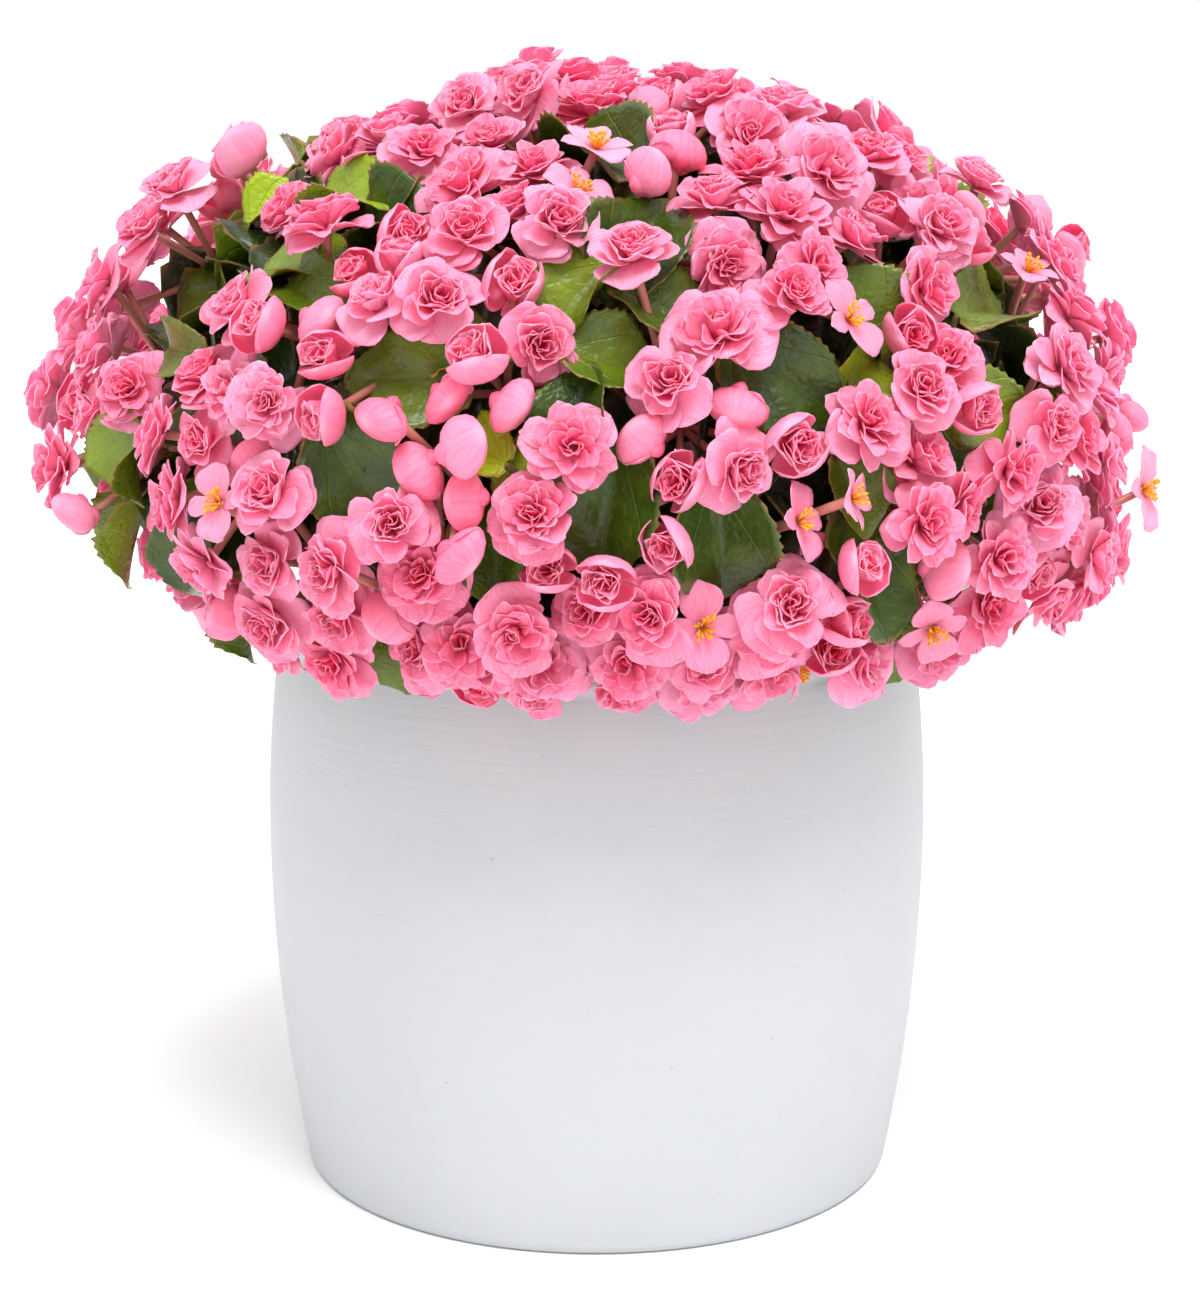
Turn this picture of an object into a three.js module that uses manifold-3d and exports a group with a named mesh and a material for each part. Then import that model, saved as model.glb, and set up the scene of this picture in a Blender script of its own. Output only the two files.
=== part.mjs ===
// A potted double begonia: a barrel-shaped planter full of soil, a dozen leafy stems, and the bunches of
// blooms that they carry. Units are millimetres, +Z is up, and the origin is the middle of the pot's foot.
// Azimuth 0 is the front, towards -Y, and a positive azimuth turns towards +X.
import * as THREE from 'three';
import { mergeVertices } from 'three/addons/utils/BufferGeometryUtils.js';
import Module from 'manifold-3d';

const wasm = await Module();
wasm.setup();

// ---------------------------------------------------------------- driving dimensions
// Pot: a turned barrel shape, widest a little above its middle.
const POT_HEIGHT = 265;
const BELLY_RADIUS = 150;
const BELLY_HEIGHT = 157;
const RIM_RADIUS = 140.6;
const FOOT_RADIUS = 134.5;
const FOOT_ROUND = 4;
const WALL = 11;
const FLOOR = 13;
const COLLAR_DEPTH = 19;
const COLLAR_STEP = 0.9;
const TURNED_SIDES = 26;
const DRAIN_HOLES = 4;
const DRAIN_RADIUS = 7;
const DRAIN_CIRCLE = 62;
const CLEARANCE = 0.35;

// Soil: it fills the pot to a little below the rim.
const SOIL_TOP = 240;
const SOIL_BUMP = 2.5;

// Mound: the blooms sit on two half ellipsoids that meet at MOUND_Z.
const MOUND_Z = 320;
const MOUND_RADIUS = 233;
const MOUND_UP = 173;
const MOUND_DOWN = 98;
const FACING_DEPTH = 40;
const MOUND_SEED = 20;
const SPACING_SWEEPS = 140;

// How near two middles may lie, as shares of both radii, with a gap between blooms of different clusters.
const SPACING = { leaves: 0.9, leafToBloom: 0.92, inCluster: 0.85, blooms: 0.99, gap: 0.6 };

// Stems: they rise from a sunflower pattern in the soil and lean out towards the mound.
const STEMS = 12;
const STEM_RADIUS = 4.2;
const STEM_ROOT_Z = 196;
const STEM_CIRCLE = 84;
const STEM_REACH = 0.64;
const STEM_STEPS = 4;
const STEM_SIDES = 5;
const GOLDEN_ANGLE = 137.508;

// Bloom bunches: every bloom's stalk runs in to a hub, and the hub's stalk runs to a stem.
const HUB_DEPTH = 34;
const HUB_RADIUS = 3.4;
const BLOOM_STALK = 1.7;
const BUNCH_STALK = 2.2;
const BLOOM_SPREAD = 15;

// Leaves: waved blades on round stalks.
const BLADE_THICKNESS = 0.9;
const LEAF_STALK = 1.7;
const LEAF_LIFT = 0.93;
const BACK_LEAVES = 26;

// Ways a leaf may give to its neighbours: sunk into the mound, turned, and tilted.
const LEAF_SINKS = [0, 5, -5, 10, 15];
const LEAF_TURNS = [0, 20, -20, 40, -40];
const LEAF_TILTS = [[0, 0], [0.3, 0], [-0.3, 0], [0, 0.3], [0, -0.3], [0.3, 0.3], [-0.3, 0.3], [-0.3, -0.3]];

// Rows of a blade from base to tip: share of the length, half width, the edge's wave, and the rib's depth.
const BLADE_ROWS = [
  [0.14, 0.34, 0.045, 3.6], [0.5, 0.44, -0.04, 2], [0.82, 0.27, 0.05, 1.2],
];

// Bloom forms: radius in millimetres, then heights and widths as shares of it.
const BLOOM_FORMS = {
  R: { radius: 17, tips: 3, notch: 0.86, tipRise: 0.04, crown: 0.56, crownRise: 0.5, heart: 0.3 },
  C: { radius: 18, tips: 4, notch: 0.66, tipRise: 0.12, crown: 0.5, crownRise: 0.55, heart: 0.34 },
  B: { radius: 12.6, tips: 3, notch: 0.78, tipRise: 0.12, crown: 0, crownRise: 0, heart: 0.55 },
  S: { radius: 15.6, tips: 4, notch: 0.42, tipRise: 0.1, crown: 0, crownRise: 0, heart: 0.02 },
};

// Bunches at the front, each a list of clusters: azimuth, elevation, a letter for every bloom (R double rosette,
// C fuller open double, B closed bud with two round petals, S single with stamens) and, where a cluster stands
// out of the mound or back in it, its distance from the middle as a share of the rest's.
const FRONT_BUNCHES = [
  [[-69, 10, 'RCRRB'], [-82, 23, 'RRCRRB', 1.03]],
  [[-83, 37, 'RRSRBR', 1.05], [-80, 47, 'BBBB', 1.03]],
  [[-39, 54, 'RCRRRCB', 0.96]],
  [[-18, 70, 'BRRBRB']],
  [[20, 72, 'BRRSRB', 0.98]],
  [[39, 60, 'RSRSRR'], [54, 52, 'RRCRBB']],
  [[83, 36, 'RBRRB', 1.05], [76, 23, 'RRCBS', 1.02]],
  [[43, 36, 'RBRB'], [35, 20, 'RBB']],
  [[-11, 41, 'RRCRSRRSB']],
  [[22, 32, 'CCRRRSC'], [13, 42, 'BBR']],
  [[-37, 26, 'RBRBB'], [-23, 27, 'RBBR']],
  [[-37, 12, 'RCCRRCBC']],
  [[-7, 21, 'BBBB']],
  [[-14, 9, 'BBBB'], [-17, 0, 'RRBB']],
  [[10, 17, 'RRRBBRB']],
  [[16, 2, 'SSBBBC'], [-3, 5, 'CRB']],
  [[33, 7, 'CCRCCCS']],
  [[60, 11, 'CCRCRB', 1.02]],
  [[59, -5, 'RRCRRCB']],
  [[47, -17, 'CRCRRB']],
  [[-13, -28, 'RRRCBRRBR']],
  [[5, -8, 'RRSBR']],
  [[16, -32, 'CRRSRBR'], [27, -24, 'RBBB']],
  [[-32, -9, 'RRSCRBRBC']],
];

// Rows of clusters round the back, each with its elevation, first and last azimuth, count, and how far out
// its two ends stand.
const BACK_ROWS = [
  { elevation: -24, from: 80, to: 286, count: 8, ends: [1.04, 0.9] },
  { elevation: 5, from: 96, to: 250, count: 8, ends: [1, 1] },
  { elevation: 34, from: 112, to: 246, count: 6, ends: [1.02, 1.03] },
  { elevation: 59, from: 105, to: 255, count: 4, ends: [0.99, 0.94] },
  { elevation: 82, from: 110, to: 250, count: 2, ends: [0.93, 0.98] },
];
const BACK_CODES = ['RRCRS', 'CRRBR', 'RCRRB', 'RRCRB'];
const BACK_BLOOM_SCALE = 1.1;

// Leaves at the front: azimuth, elevation, length, and the turn of the tip from straight up.
const FRONT_LEAVES = [
  [-20, 20, 50, -95], [-44, 41, 49, -100], [-37, 49, 45, 60], [-31, 47, 42, 75], [-63, 48, 33, -20],
  [-33, 35, 38, 90], [5, 62, 54, -60], [7, 37, 52, 10], [-2, 33, 44, -140], [8, 30, 40, 120],
  [0, 22, 42, 100], [-9, 11, 31, -80], [-6, 13, 31, 60], [-1, 17, 40, 30], [1, 2, 54, 170],
  [-24, 3, 54, 170], [-25, 13, 31, -120], [-7, -3, 40, 180], [10, 2, 52, 150], [21, 19, 52, 130],
  [31, 26, 42, -30], [32, 23, 35, 60], [56, 29, 45, 90], [40, 14, 47, 110], [68, 47, 47, 80],
  [84, 54, 37, 60], [25, 8, 33, 160], [32, -14, 52, 150], [46, -46, 49, 180], [54, -40, 44, 175],
  [62, -38, 37, 180], [67, -30, 35, 170], [-60, -36, 38, 190], [-24, -50, 33, 180], [-50, -10, 44, -150],
  [-72, -18, 44, -170], [-62, 7, 42, -160], [-57, 22, 31, -90], [-16, 25, 33, 70],
];

// ---------------------------------------------------------------- small helpers
const radians = THREE.MathUtils.degToRad;
const UP = new THREE.Vector3(0, 0, 1);

function seeded(seed) {
  let state = seed >>> 0;
  return () => {
    state = (Math.imul(1664525, state) + 1013904223) >>> 0;
    return state / 4294967296;
  };
}

function along(from, to, share) {
  return new THREE.Vector3().lerpVectors(from, to, share);
}

// Two directions across an axis, the second as near to straight up as the axis lets it be.
function frameAcross(axis) {
  const side = new THREE.Vector3().crossVectors(UP, axis);
  if (side.length() < 1e-3) side.set(1, 0, 0);
  side.normalize();
  return [side, new THREE.Vector3().crossVectors(axis, side)];
}

function placed(centre, side, top, axis, x, y, z) {
  return centre.clone().addScaledVector(side, x).addScaledVector(top, y).addScaledVector(axis, z);
}

// How far round an axis a direction lies, as regularRing counts its turn.
function angleAround(axis, direction) {
  const [side, top] = frameAcross(axis);
  return Math.atan2(direction.dot(top), direction.dot(side));
}

function regularRing(centre, axis, radius, count, turn = 0) {
  const [side, top] = frameAcross(axis);
  return Array.from({ length: count }, (_, k) => {
    const angle = turn + (2 * Math.PI * k) / count;
    return placed(centre, side, top, axis, radius * Math.cos(angle), radius * Math.sin(angle), 0);
  });
}

// ---------------------------------------------------------------- solids from triangles
function signedVolume(points, faces) {
  return faces.reduce((sum, [a, b, c]) => {
    return sum + points[a].dot(new THREE.Vector3().crossVectors(points[b], points[c])) / 6;
  }, 0);
}

// A solid from points and triangles, turned the right way out.
function solidOf(points, faces) {
  const outward = signedVolume(points, faces) > 0;
  const triVerts = new Uint32Array(faces.flatMap(([a, b, c]) => (outward ? [a, b, c] : [a, c, b])));
  const vertProperties = new Float32Array(points.flatMap((point) => point.toArray()));
  return new wasm.Manifold(new wasm.Mesh({ numProp: 3, vertProperties, triVerts }));
}

// A three.js geometry as a solid, with its seams merged and its collapsed triangles dropped.
function solidFrom(geometry) {
  geometry.deleteAttribute('normal');
  geometry.deleteAttribute('uv');
  const merged = mergeVertices(geometry, 1e-4);
  const place = merged.getAttribute('position');
  const index = merged.getIndex();
  const points = Array.from({ length: place.count }, (_, k) => new THREE.Vector3().fromBufferAttribute(place, k));
  const faces = [];
  for (let k = 0; k < index.count; k += 3) {
    const face = [index.getX(k), index.getX(k + 1), index.getX(k + 2)];
    if (new Set(face).size === 3) faces.push(face);
  }
  return solidOf(points, faces);
}

// The band of triangles between two rings of point numbers that run the same way round.
function band(near, far) {
  const faces = [];
  let a = 0;
  let b = 0;
  while (a < near.length || b < far.length) {
    const nearPoint = near[a % near.length];
    const farPoint = far[b % far.length];
    if (b >= far.length || (a < near.length && (a + 0.5) / near.length <= (b + 0.5) / far.length)) {
      a += 1;
      faces.push([nearPoint, near[a % near.length], farPoint]);
    } else {
      b += 1;
      faces.push([nearPoint, far[b % far.length], farPoint]);
    }
  }
  return faces;
}

// Rings of points joined one to the next, closed at each end by a point or by a flat fan.
function loft(rings, startPoint = null, endPoint = null) {
  const points = rings.flat();
  let counted = 0;
  const numbers = rings.map((ring) => ring.map(() => counted++));
  const faces = numbers.slice(1).flatMap((far, k) => band(numbers[k], far));
  const close = (ring, apex) => {
    if (!apex) return ring.slice(2).map((third, k) => [ring[0], third, ring[k + 1]]);
    points.push(apex);
    return ring.map((number, k) => [points.length - 1, ring[(k + 1) % ring.length], number]);
  };
  faces.push(...close(numbers[0], startPoint));
  faces.push(...close(numbers.at(-1), endPoint).map(([a, b, c]) => [a, c, b]));
  return solidOf(points, faces);
}

function mainBody(solid) {
  return solid.decompose().reduce((best, piece) => (piece.volume() > best.volume() ? piece : best));
}

function meshOf(name, solid, material) {
  const { vertProperties, triVerts } = solid.getMesh();
  const geometry = new THREE.BufferGeometry();
  geometry.setAttribute('position', new THREE.BufferAttribute(vertProperties, 3));
  geometry.setIndex(new THREE.BufferAttribute(triVerts, 1));
  const mesh = new THREE.Mesh(geometry, material);
  mesh.name = name;
  return mesh;
}

// ---------------------------------------------------------------- layout of the mound
function shellPoint(azimuth, elevation, lift) {
  const level = Math.cos(radians(elevation)) * MOUND_RADIUS * lift;
  const reach = (elevation > 0 ? MOUND_UP : MOUND_DOWN) * lift;
  const turn = radians(azimuth);
  return new THREE.Vector3(
    level * Math.sin(turn), -level * Math.cos(turn), MOUND_Z + reach * Math.sin(radians(elevation)));
}

function ontoShell(point, lift) {
  const reach = point.z > MOUND_Z ? MOUND_UP : MOUND_DOWN;
  const share = Math.hypot(point.x / MOUND_RADIUS, point.y / MOUND_RADIUS, (point.z - MOUND_Z) / reach);
  const scale = lift / share;
  point.set(point.x * scale, point.y * scale, MOUND_Z + (point.z - MOUND_Z) * scale);
}

function outsidePot(point, radius) {
  const needed = BELLY_RADIUS + radius + 3;
  const distance = Math.hypot(point.x, point.y);
  if (point.z - radius > POT_HEIGHT + 3 || distance >= needed) return;
  point.x *= needed / distance;
  point.y *= needed / distance;
}

// Which way a bloom or leaf at this point looks: away from a spot inside the mound.
function facing(point) {
  return new THREE.Vector3(point.x, point.y, point.z - MOUND_Z + FACING_DEPTH).normalize();
}

// Bunches round the back, each of two clusters that stand side by side in a row.
function backBunches() {
  return BACK_ROWS.flatMap((row, rowNumber) => {
    const step = (row.to - row.from) / (row.count - 1);
    const clusters = Array.from({ length: row.count }, (_, k) => {
      const code = BACK_CODES[(k + rowNumber) % BACK_CODES.length];
      const reach = THREE.MathUtils.lerp(...row.ends, k / (row.count - 1));
      return [row.from + step * k, row.elevation + (k % 2 ? 4 : -3), code, reach];
    });
    return Array.from({ length: row.count / 2 }, (_, k) => clusters.slice(2 * k, 2 * k + 2));
  });
}

function placeItems(bunches) {
  const random = seeded(MOUND_SEED);
  const items = [];
  bunches.forEach((clusters, bunch) => clusters.forEach(([azimuth, elevation, code, reach = 1], cluster) => {
    const centre = shellPoint(azimuth, elevation, 1);
    const [side, top] = frameAcross(facing(centre));
    const phase = random() * 360;
    const scale = bunch < FRONT_BUNCHES.length ? 1 : BACK_BLOOM_SCALE;
    [...code].forEach((kind, k) => {
      const away = BLOOM_SPREAD * scale * Math.sqrt(code.length > 3 ? k * 1.7 : k + 0.6);
      const angle = radians(phase + k * GOLDEN_ANGLE);
      const point = placed(centre, side, top, UP, away * Math.cos(angle), away * Math.sin(angle), 0);
      const radius = BLOOM_FORMS[kind].radius * scale * (0.9 + 0.2 * random());
      const lift = reach * (0.955 + 0.075 * random());
      const tilt = [random() - 0.5, random() - 0.5];
      const turn = random() * 2 * Math.PI;
      items.push({ kind, bunch, cluster, point, radius, lift, tilt, turn });
    });
  }));
  const leafPlan = FRONT_LEAVES.map((leaf) => [...leaf]);
  for (let k = 0; k < BACK_LEAVES; k += 1) {
    const azimuth = 92 + 178 * ((k * 0.618034) % 1);
    const elevation = -42 + 118 * ((k + 0.5) / BACK_LEAVES) ** 1.15;
    leafPlan.push([azimuth, elevation, 38 + 15 * random(), 360 * random()]);
  }
  leafPlan.forEach(([azimuth, elevation, length, heading]) => {
    const point = shellPoint(azimuth, elevation, LEAF_LIFT);
    const tilt = [random() - 0.5, random() - 0.5];
    const turn = radians(heading);
    const wave = random() * 2 * Math.PI;
    const leaf = { kind: 'L', bunch: -1, cluster: -1, point, radius: length * 0.42, lift: LEAF_LIFT };
    items.push({ ...leaf, tilt, turn, length, wave });
  });
  return items;
}

// How far apart two items' middles have to be, as a share of their radii and a gap.
function neededGap(a, b) {
  const both = a.radius + b.radius;
  if (a.kind === 'L' && b.kind === 'L') return both * SPACING.leaves;
  if (a.kind === 'L' || b.kind === 'L') return both * SPACING.leafToBloom;
  if (a.bunch === b.bunch && a.cluster === b.cluster) return both * SPACING.inCluster;
  return both * SPACING.blooms + SPACING.gap;
}

// Neighbours push each other apart over the mound's surface while each is drawn back to its place.
function spaceOut(items) {
  const homes = items.map((item) => item.point.clone());
  for (let sweep = 0; sweep < SPACING_SWEEPS; sweep += 1) {
    const shifts = items.map(() => new THREE.Vector3());
    for (let i = 0; i < items.length; i += 1) {
      for (let j = i + 1; j < items.length; j += 1) {
        const apart = new THREE.Vector3().subVectors(items[i].point, items[j].point);
        const short = neededGap(items[i], items[j]) - apart.length();
        if (short > 0) {
          apart.normalize();
          shifts[i].addScaledVector(apart, short * 0.3);
          shifts[j].addScaledVector(apart, -short * 0.3);
        }
      }
    }
    items.forEach((item, i) => {
      const pull = item.kind === 'L' ? 0.03 : 0.012;
      item.point.add(shifts[i]).addScaledVector(homes[i].clone().sub(item.point), pull);
      ontoShell(item.point, item.lift);
      outsidePot(item.point, item.kind === 'L' ? 12 : item.radius);
    });
  }
}

// ---------------------------------------------------------------- stems and what hangs on them
function stemPlan() {
  return Array.from({ length: STEMS }, (_, k) => {
    const share = Math.sqrt((k + 0.5) / STEMS);
    const turn = radians(k * GOLDEN_ANGLE);
    const root = new THREE.Vector3(Math.sin(turn), -Math.cos(turn), 0).multiplyScalar(STEM_CIRCLE * share);
    root.z = STEM_ROOT_Z;
    const inner = share < 0.5;
    const end = shellPoint(k * GOLDEN_ANGLE, inner ? 58 : 34 - 26 * share, STEM_REACH);
    const middle = new THREE.Vector3(root.x * 1.12, root.y * 1.12, inner ? 330 : 288);
    return new THREE.QuadraticBezierCurve3(root, middle, end);
  });
}

function pointDistance(point, from, to) {
  const run = to.clone().sub(from);
  const share = THREE.MathUtils.clamp(point.clone().sub(from).dot(run) / run.lengthSq(), 0, 1);
  return run.multiplyScalar(share).add(from).distanceTo(point);
}

function segmentDistance(a, b, c, d) {
  const ab = b.clone().sub(a);
  const cd = d.clone().sub(c);
  const ac = a.clone().sub(c);
  const lengthAb = ab.lengthSq();
  const lengthCd = Math.max(cd.lengthSq(), 1e-9);
  const mix = ab.dot(cd);
  const slant = cd.dot(ac);
  const lean = ab.dot(ac);
  const spread = lengthAb * lengthCd - mix * mix;
  let s = spread > 1e-9 ? THREE.MathUtils.clamp((mix * slant - lean * lengthCd) / spread, 0, 1) : 0;
  const t = THREE.MathUtils.clamp((mix * s + slant) / lengthCd, 0, 1);
  s = THREE.MathUtils.clamp((mix * t - lean) / lengthAb, 0, 1);
  return along(a, b, s).distanceTo(along(c, d, t));
}

function clearOfPot(from, to, radius) {
  for (let k = 0; k <= 8; k += 1) {
    const point = along(from, to, k / 8);
    const distance = Math.hypot(point.x, point.y);
    const low = point.z - radius < POT_HEIGHT + 2;
    const inside = distance < RIM_RADIUS - WALL - radius - 4 && point.z > SOIL_TOP + 6;
    if (low && !inside && distance < BELLY_RADIUS + radius + 2) return false;
  }
  return true;
}

// The first spot on a stem that a stalk can run to without touching anything else.
function attach(from, stems, radius, owner, obstacles) {
  const spots = [];
  stems.forEach((curve, stem) => {
    for (let k = 7; k <= 20; k += 1) {
      const point = curve.getPoint(k / 20 - 0.015);
      spots.push({ stem, point, far: point.distanceTo(from) + (point.z > from.z ? 6 : 0) });
    }
  });
  spots.sort((a, b) => a.far - b.far);
  const free = spots.find(({ stem, point }) => clearOfPot(from, point, radius)
    && obstacles.every((bar) => bar.owner === owner || bar.owner === `stem${stem}`
      || segmentDistance(from, point, bar.from, bar.to) > radius + bar.radius + 0.9));
  return free ?? spots[0];
}

// A leaf's place and directions when it is sunk, tilted and turned away from its first place.
function leafPose(leaf, sink, tiltAcross, tiltAhead, turnMore) {
  const outward = facing(leaf.point);
  const point = leaf.point.clone().addScaledVector(outward, -sink);
  const [side, top] = frameAcross(outward);
  const axis = outward.clone().addScaledVector(side, leaf.tilt[0] * 0.8 + tiltAcross)
    .addScaledVector(top, leaf.tilt[1] * 0.8 + tiltAhead).normalize();
  const turn = leaf.turn + radians(turnMore);
  const heading = placed(new THREE.Vector3(), side, top, UP, Math.sin(turn), Math.cos(turn), 0);
  const ahead = heading.addScaledVector(axis, -heading.dot(axis)).normalize();
  const base = point.clone().addScaledVector(ahead, -leaf.length * 0.5);
  return { ...leaf, point, axis, ahead, base };
}

// How deeply a point lies inside the wide cone of a bloom's petals.
function depthInBloom(point, bloom) {
  const offset = point.clone().sub(bloom.point);
  const height = offset.dot(bloom.axis);
  const spread = Math.sqrt(Math.max(0, offset.lengthSq() - height * height));
  const under = height + 0.42 * bloom.radius * Math.max(0, 1 - spread / bloom.radius) + 2;
  const over = 0.6 * bloom.radius - height;
  return Math.max(0, Math.min(bloom.radius + 1.5 - spread, under, over));
}

// How deeply a blade's points lie inside what is already there.
function bladeCrossing(leaf, bars, blooms) {
  const [base, rows, tip] = bladePoints(leaf);
  const ribs = [[base, base, base], ...rows, [tip, tip, tip]];
  const between = rows.map((row, k) => row.map((point, side) => along(point, ribs[k][side], 0.5)));
  const lines = [...rows, ...between];
  const halfway = lines.flatMap(([left, middle, right]) => [along(left, middle, 0.5), along(middle, right, 0.5)]);
  const points = [base, ...lines.flat(), ...halfway, tip];
  return points.reduce((sum, point) => {
    const potDistance = Math.hypot(point.x, point.y);
    const inPot = point.z < POT_HEIGHT + 2 && potDistance < BELLY_RADIUS + 1 ? 8 : 0;
    const inBars = bars.reduce((depth, { from, to, radius }) => {
      return depth + Math.max(0, radius + 1.5 - pointDistance(point, from, to));
    }, 0);
    return sum + inPot + inBars + blooms.reduce((depth, bloom) => depth + depthInBloom(point, bloom), 0);
  }, 0);
}

function layOut() {
  const bunches = [...FRONT_BUNCHES, ...backBunches()];
  const items = placeItems(bunches);
  spaceOut(items);
  const stems = stemPlan();
  const obstacles = [];
  const bar = (owner, from, to, radius) => obstacles.push({ owner, from, to, radius });
  stems.forEach((curve, stem) => {
    for (let k = 0; k < STEM_STEPS; k += 1) {
      bar(`stem${stem}`, curve.getPoint(k / STEM_STEPS), curve.getPoint((k + 1) / STEM_STEPS), STEM_RADIUS);
    }
  });
  const blooms = items.filter((item) => item.kind !== 'L');
  const leaves = items.filter((item) => item.kind === 'L');
  const plans = bunches.map((clusters, bunch) => {
    const hubs = clusters.map((_, cluster) => {
      const own = blooms.filter((bloom) => bloom.bunch === bunch && bloom.cluster === cluster);
      const middle = own.reduce((sum, bloom) => sum.add(bloom.point), new THREE.Vector3());
      middle.divideScalar(own.length);
      const hub = middle.clone().addScaledVector(facing(middle), -HUB_DEPTH);
      own.forEach((bloom) => {
        const outward = bloom.point.clone().sub(hub).normalize();
        const [side, top] = frameAcross(outward);
        bloom.axis = facing(bloom.point).multiplyScalar(1.1).add(outward)
          .addScaledVector(side, bloom.tilt[0] * 0.7).addScaledVector(top, bloom.tilt[1] * 0.7).normalize();
        bloom.hub = hub;
        bar(`bunch${bunch}`, bloom.point, hub, BLOOM_STALK);
        bar(`bunch${bunch}`, bloom.point, bloom.point.clone().addScaledVector(bloom.axis, 2), bloom.radius * 0.55);
      });
      return hub;
    });
    return { bunch, hubs, blooms: blooms.filter((bloom) => bloom.bunch === bunch) };
  });
  plans.forEach((plan) => {
    const spot = attach(plan.hubs[0], stems, BUNCH_STALK, `bunch${plan.bunch}`, obstacles);
    plan.spot = spot;
    bar(`bunch${plan.bunch}`, plan.hubs[0], spot.point, BUNCH_STALK);
    if (plan.hubs[1]) bar(`bunch${plan.bunch}`, plan.hubs[0], plan.hubs[1], BUNCH_STALK);
  });
  leaves.forEach((leaf, k) => {
    const reach = leaf.length * 1.1;
    const near = obstacles.filter((bar) => pointDistance(leaf.point, bar.from, bar.to) < reach + bar.radius);
    const poses = LEAF_SINKS.flatMap((sink) => LEAF_TURNS.flatMap((turn) => {
      return LEAF_TILTS.map(([across, ahead]) => leafPose(leaf, sink, across, ahead, turn));
    }));
    const heads = blooms.filter((bloom) => bloom.point.distanceTo(leaf.point) < reach + bloom.radius);
    const crossings = poses.map((pose, k) => bladeCrossing(pose, near, heads) + k * 0.02);
    Object.assign(leaf, poses[crossings.indexOf(Math.min(...crossings))]);
    const tip = leaf.base.clone().addScaledVector(leaf.ahead, leaf.length);
    leaf.spot = attach(leaf.base, stems, LEAF_STALK, `leaf${k}`, obstacles);
    bar(`stem${leaf.spot.stem}`, leaf.base, leaf.spot.point, LEAF_STALK);
    const across = new THREE.Vector3().crossVectors(leaf.ahead, leaf.axis).multiplyScalar(leaf.length * 0.35);
    bar(`stem${leaf.spot.stem}`, leaf.base, tip, LEAF_STALK);
    const centre = along(leaf.base, tip, 0.5);
    bar(`stem${leaf.spot.stem}`, centre.clone().add(across), centre.clone().sub(across), LEAF_STALK);
  });
  return { stems, plans, leaves };
}

// ---------------------------------------------------------------- pot and soil
function outerRadius(z) {
  const above = z > BELLY_HEIGHT;
  const share = (z - BELLY_HEIGHT) / (above ? POT_HEIGHT - BELLY_HEIGHT : -BELLY_HEIGHT);
  return BELLY_RADIUS - (BELLY_RADIUS - (above ? RIM_RADIUS : FOOT_RADIUS)) * share ** 2;
}

function turned(profile) {
  const points = profile.map(([radius, z]) => new THREE.Vector2(radius, z));
  const geometry = new THREE.LatheGeometry(points, TURNED_SIDES);
  geometry.rotateX(Math.PI / 2);
  return solidFrom(geometry);
}

const INNER_LEVELS = [FLOOR, 110, SOIL_TOP];

function buildPot() {
  const collar = POT_HEIGHT - COLLAR_DEPTH;
  const outside = [
    [0, 0], [FOOT_RADIUS - FOOT_ROUND, 0], [outerRadius(FOOT_ROUND), FOOT_ROUND],
    ...[50, 103, 157, 208].map((z) => [outerRadius(z), z]),
    [outerRadius(collar), collar], [outerRadius(collar) + COLLAR_STEP, collar + 1.5],
    [RIM_RADIUS, POT_HEIGHT - 3], [RIM_RADIUS - 3, POT_HEIGHT],
  ];
  const inside = [
    [RIM_RADIUS - WALL + 3, POT_HEIGHT], [RIM_RADIUS - WALL, POT_HEIGHT - 3],
    ...[...INNER_LEVELS].reverse().map((z) => [outerRadius(z) - WALL, z]), [0, FLOOR],
  ];
  const drains = Array.from({ length: DRAIN_HOLES }, (_, k) => {
    const turn = radians(45 + (360 * k) / DRAIN_HOLES);
    const hole = new THREE.CylinderGeometry(DRAIN_RADIUS, DRAIN_RADIUS, FLOOR * 3, 10);
    hole.rotateX(Math.PI / 2);
    hole.translate(DRAIN_CIRCLE * Math.cos(turn), DRAIN_CIRCLE * Math.sin(turn), 0);
    return solidFrom(hole);
  });
  return drains.reduce((pot, hole) => pot.subtract(hole), turned([...outside, ...inside]));
}

function buildSoil(stemTubes) {
  const side = INNER_LEVELS.map((z) => [outerRadius(z) - WALL - CLEARANCE, z]);
  side[0][1] += CLEARANCE;
  const profile = [[0, side[0][1]], ...side, [88, SOIL_TOP], [0, SOIL_TOP]];
  const points = profile.map(([radius, z]) => new THREE.Vector2(radius, z));
  const geometry = new THREE.LatheGeometry(points, TURNED_SIDES);
  geometry.rotateX(Math.PI / 2);
  const place = geometry.getAttribute('position');
  for (let k = 0; k < place.count; k += 1) {
    const x = place.getX(k);
    const y = place.getY(k);
    const onTop = place.getZ(k) > SOIL_TOP - 1 && Math.hypot(x, y) < 120;
    if (onTop) place.setZ(k, SOIL_TOP + SOIL_BUMP * (1 + Math.sin(x * 0.09 + 1) * Math.cos(y * 0.11)));
  }
  return stemTubes.reduce((soil, tube) => soil.subtract(tube), solidFrom(geometry));
}

// ---------------------------------------------------------------- stems and leaves
function stemTube(curve, extra = 0) {
  const rings = Array.from({ length: STEM_STEPS + 1 }, (_, k) => {
    const share = k / STEM_STEPS;
    const radius = STEM_RADIUS * (1.1 - 0.35 * share) + extra;
    return regularRing(curve.getPoint(share), curve.getTangent(share), radius, STEM_SIDES);
  });
  const [root, tip] = [curve.getPoint(0), curve.getPoint(1)];
  root.addScaledVector(curve.getTangent(0), -extra);
  tip.addScaledVector(curve.getTangent(1), 4 + extra);
  return loft(rings, root, tip);
}

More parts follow.
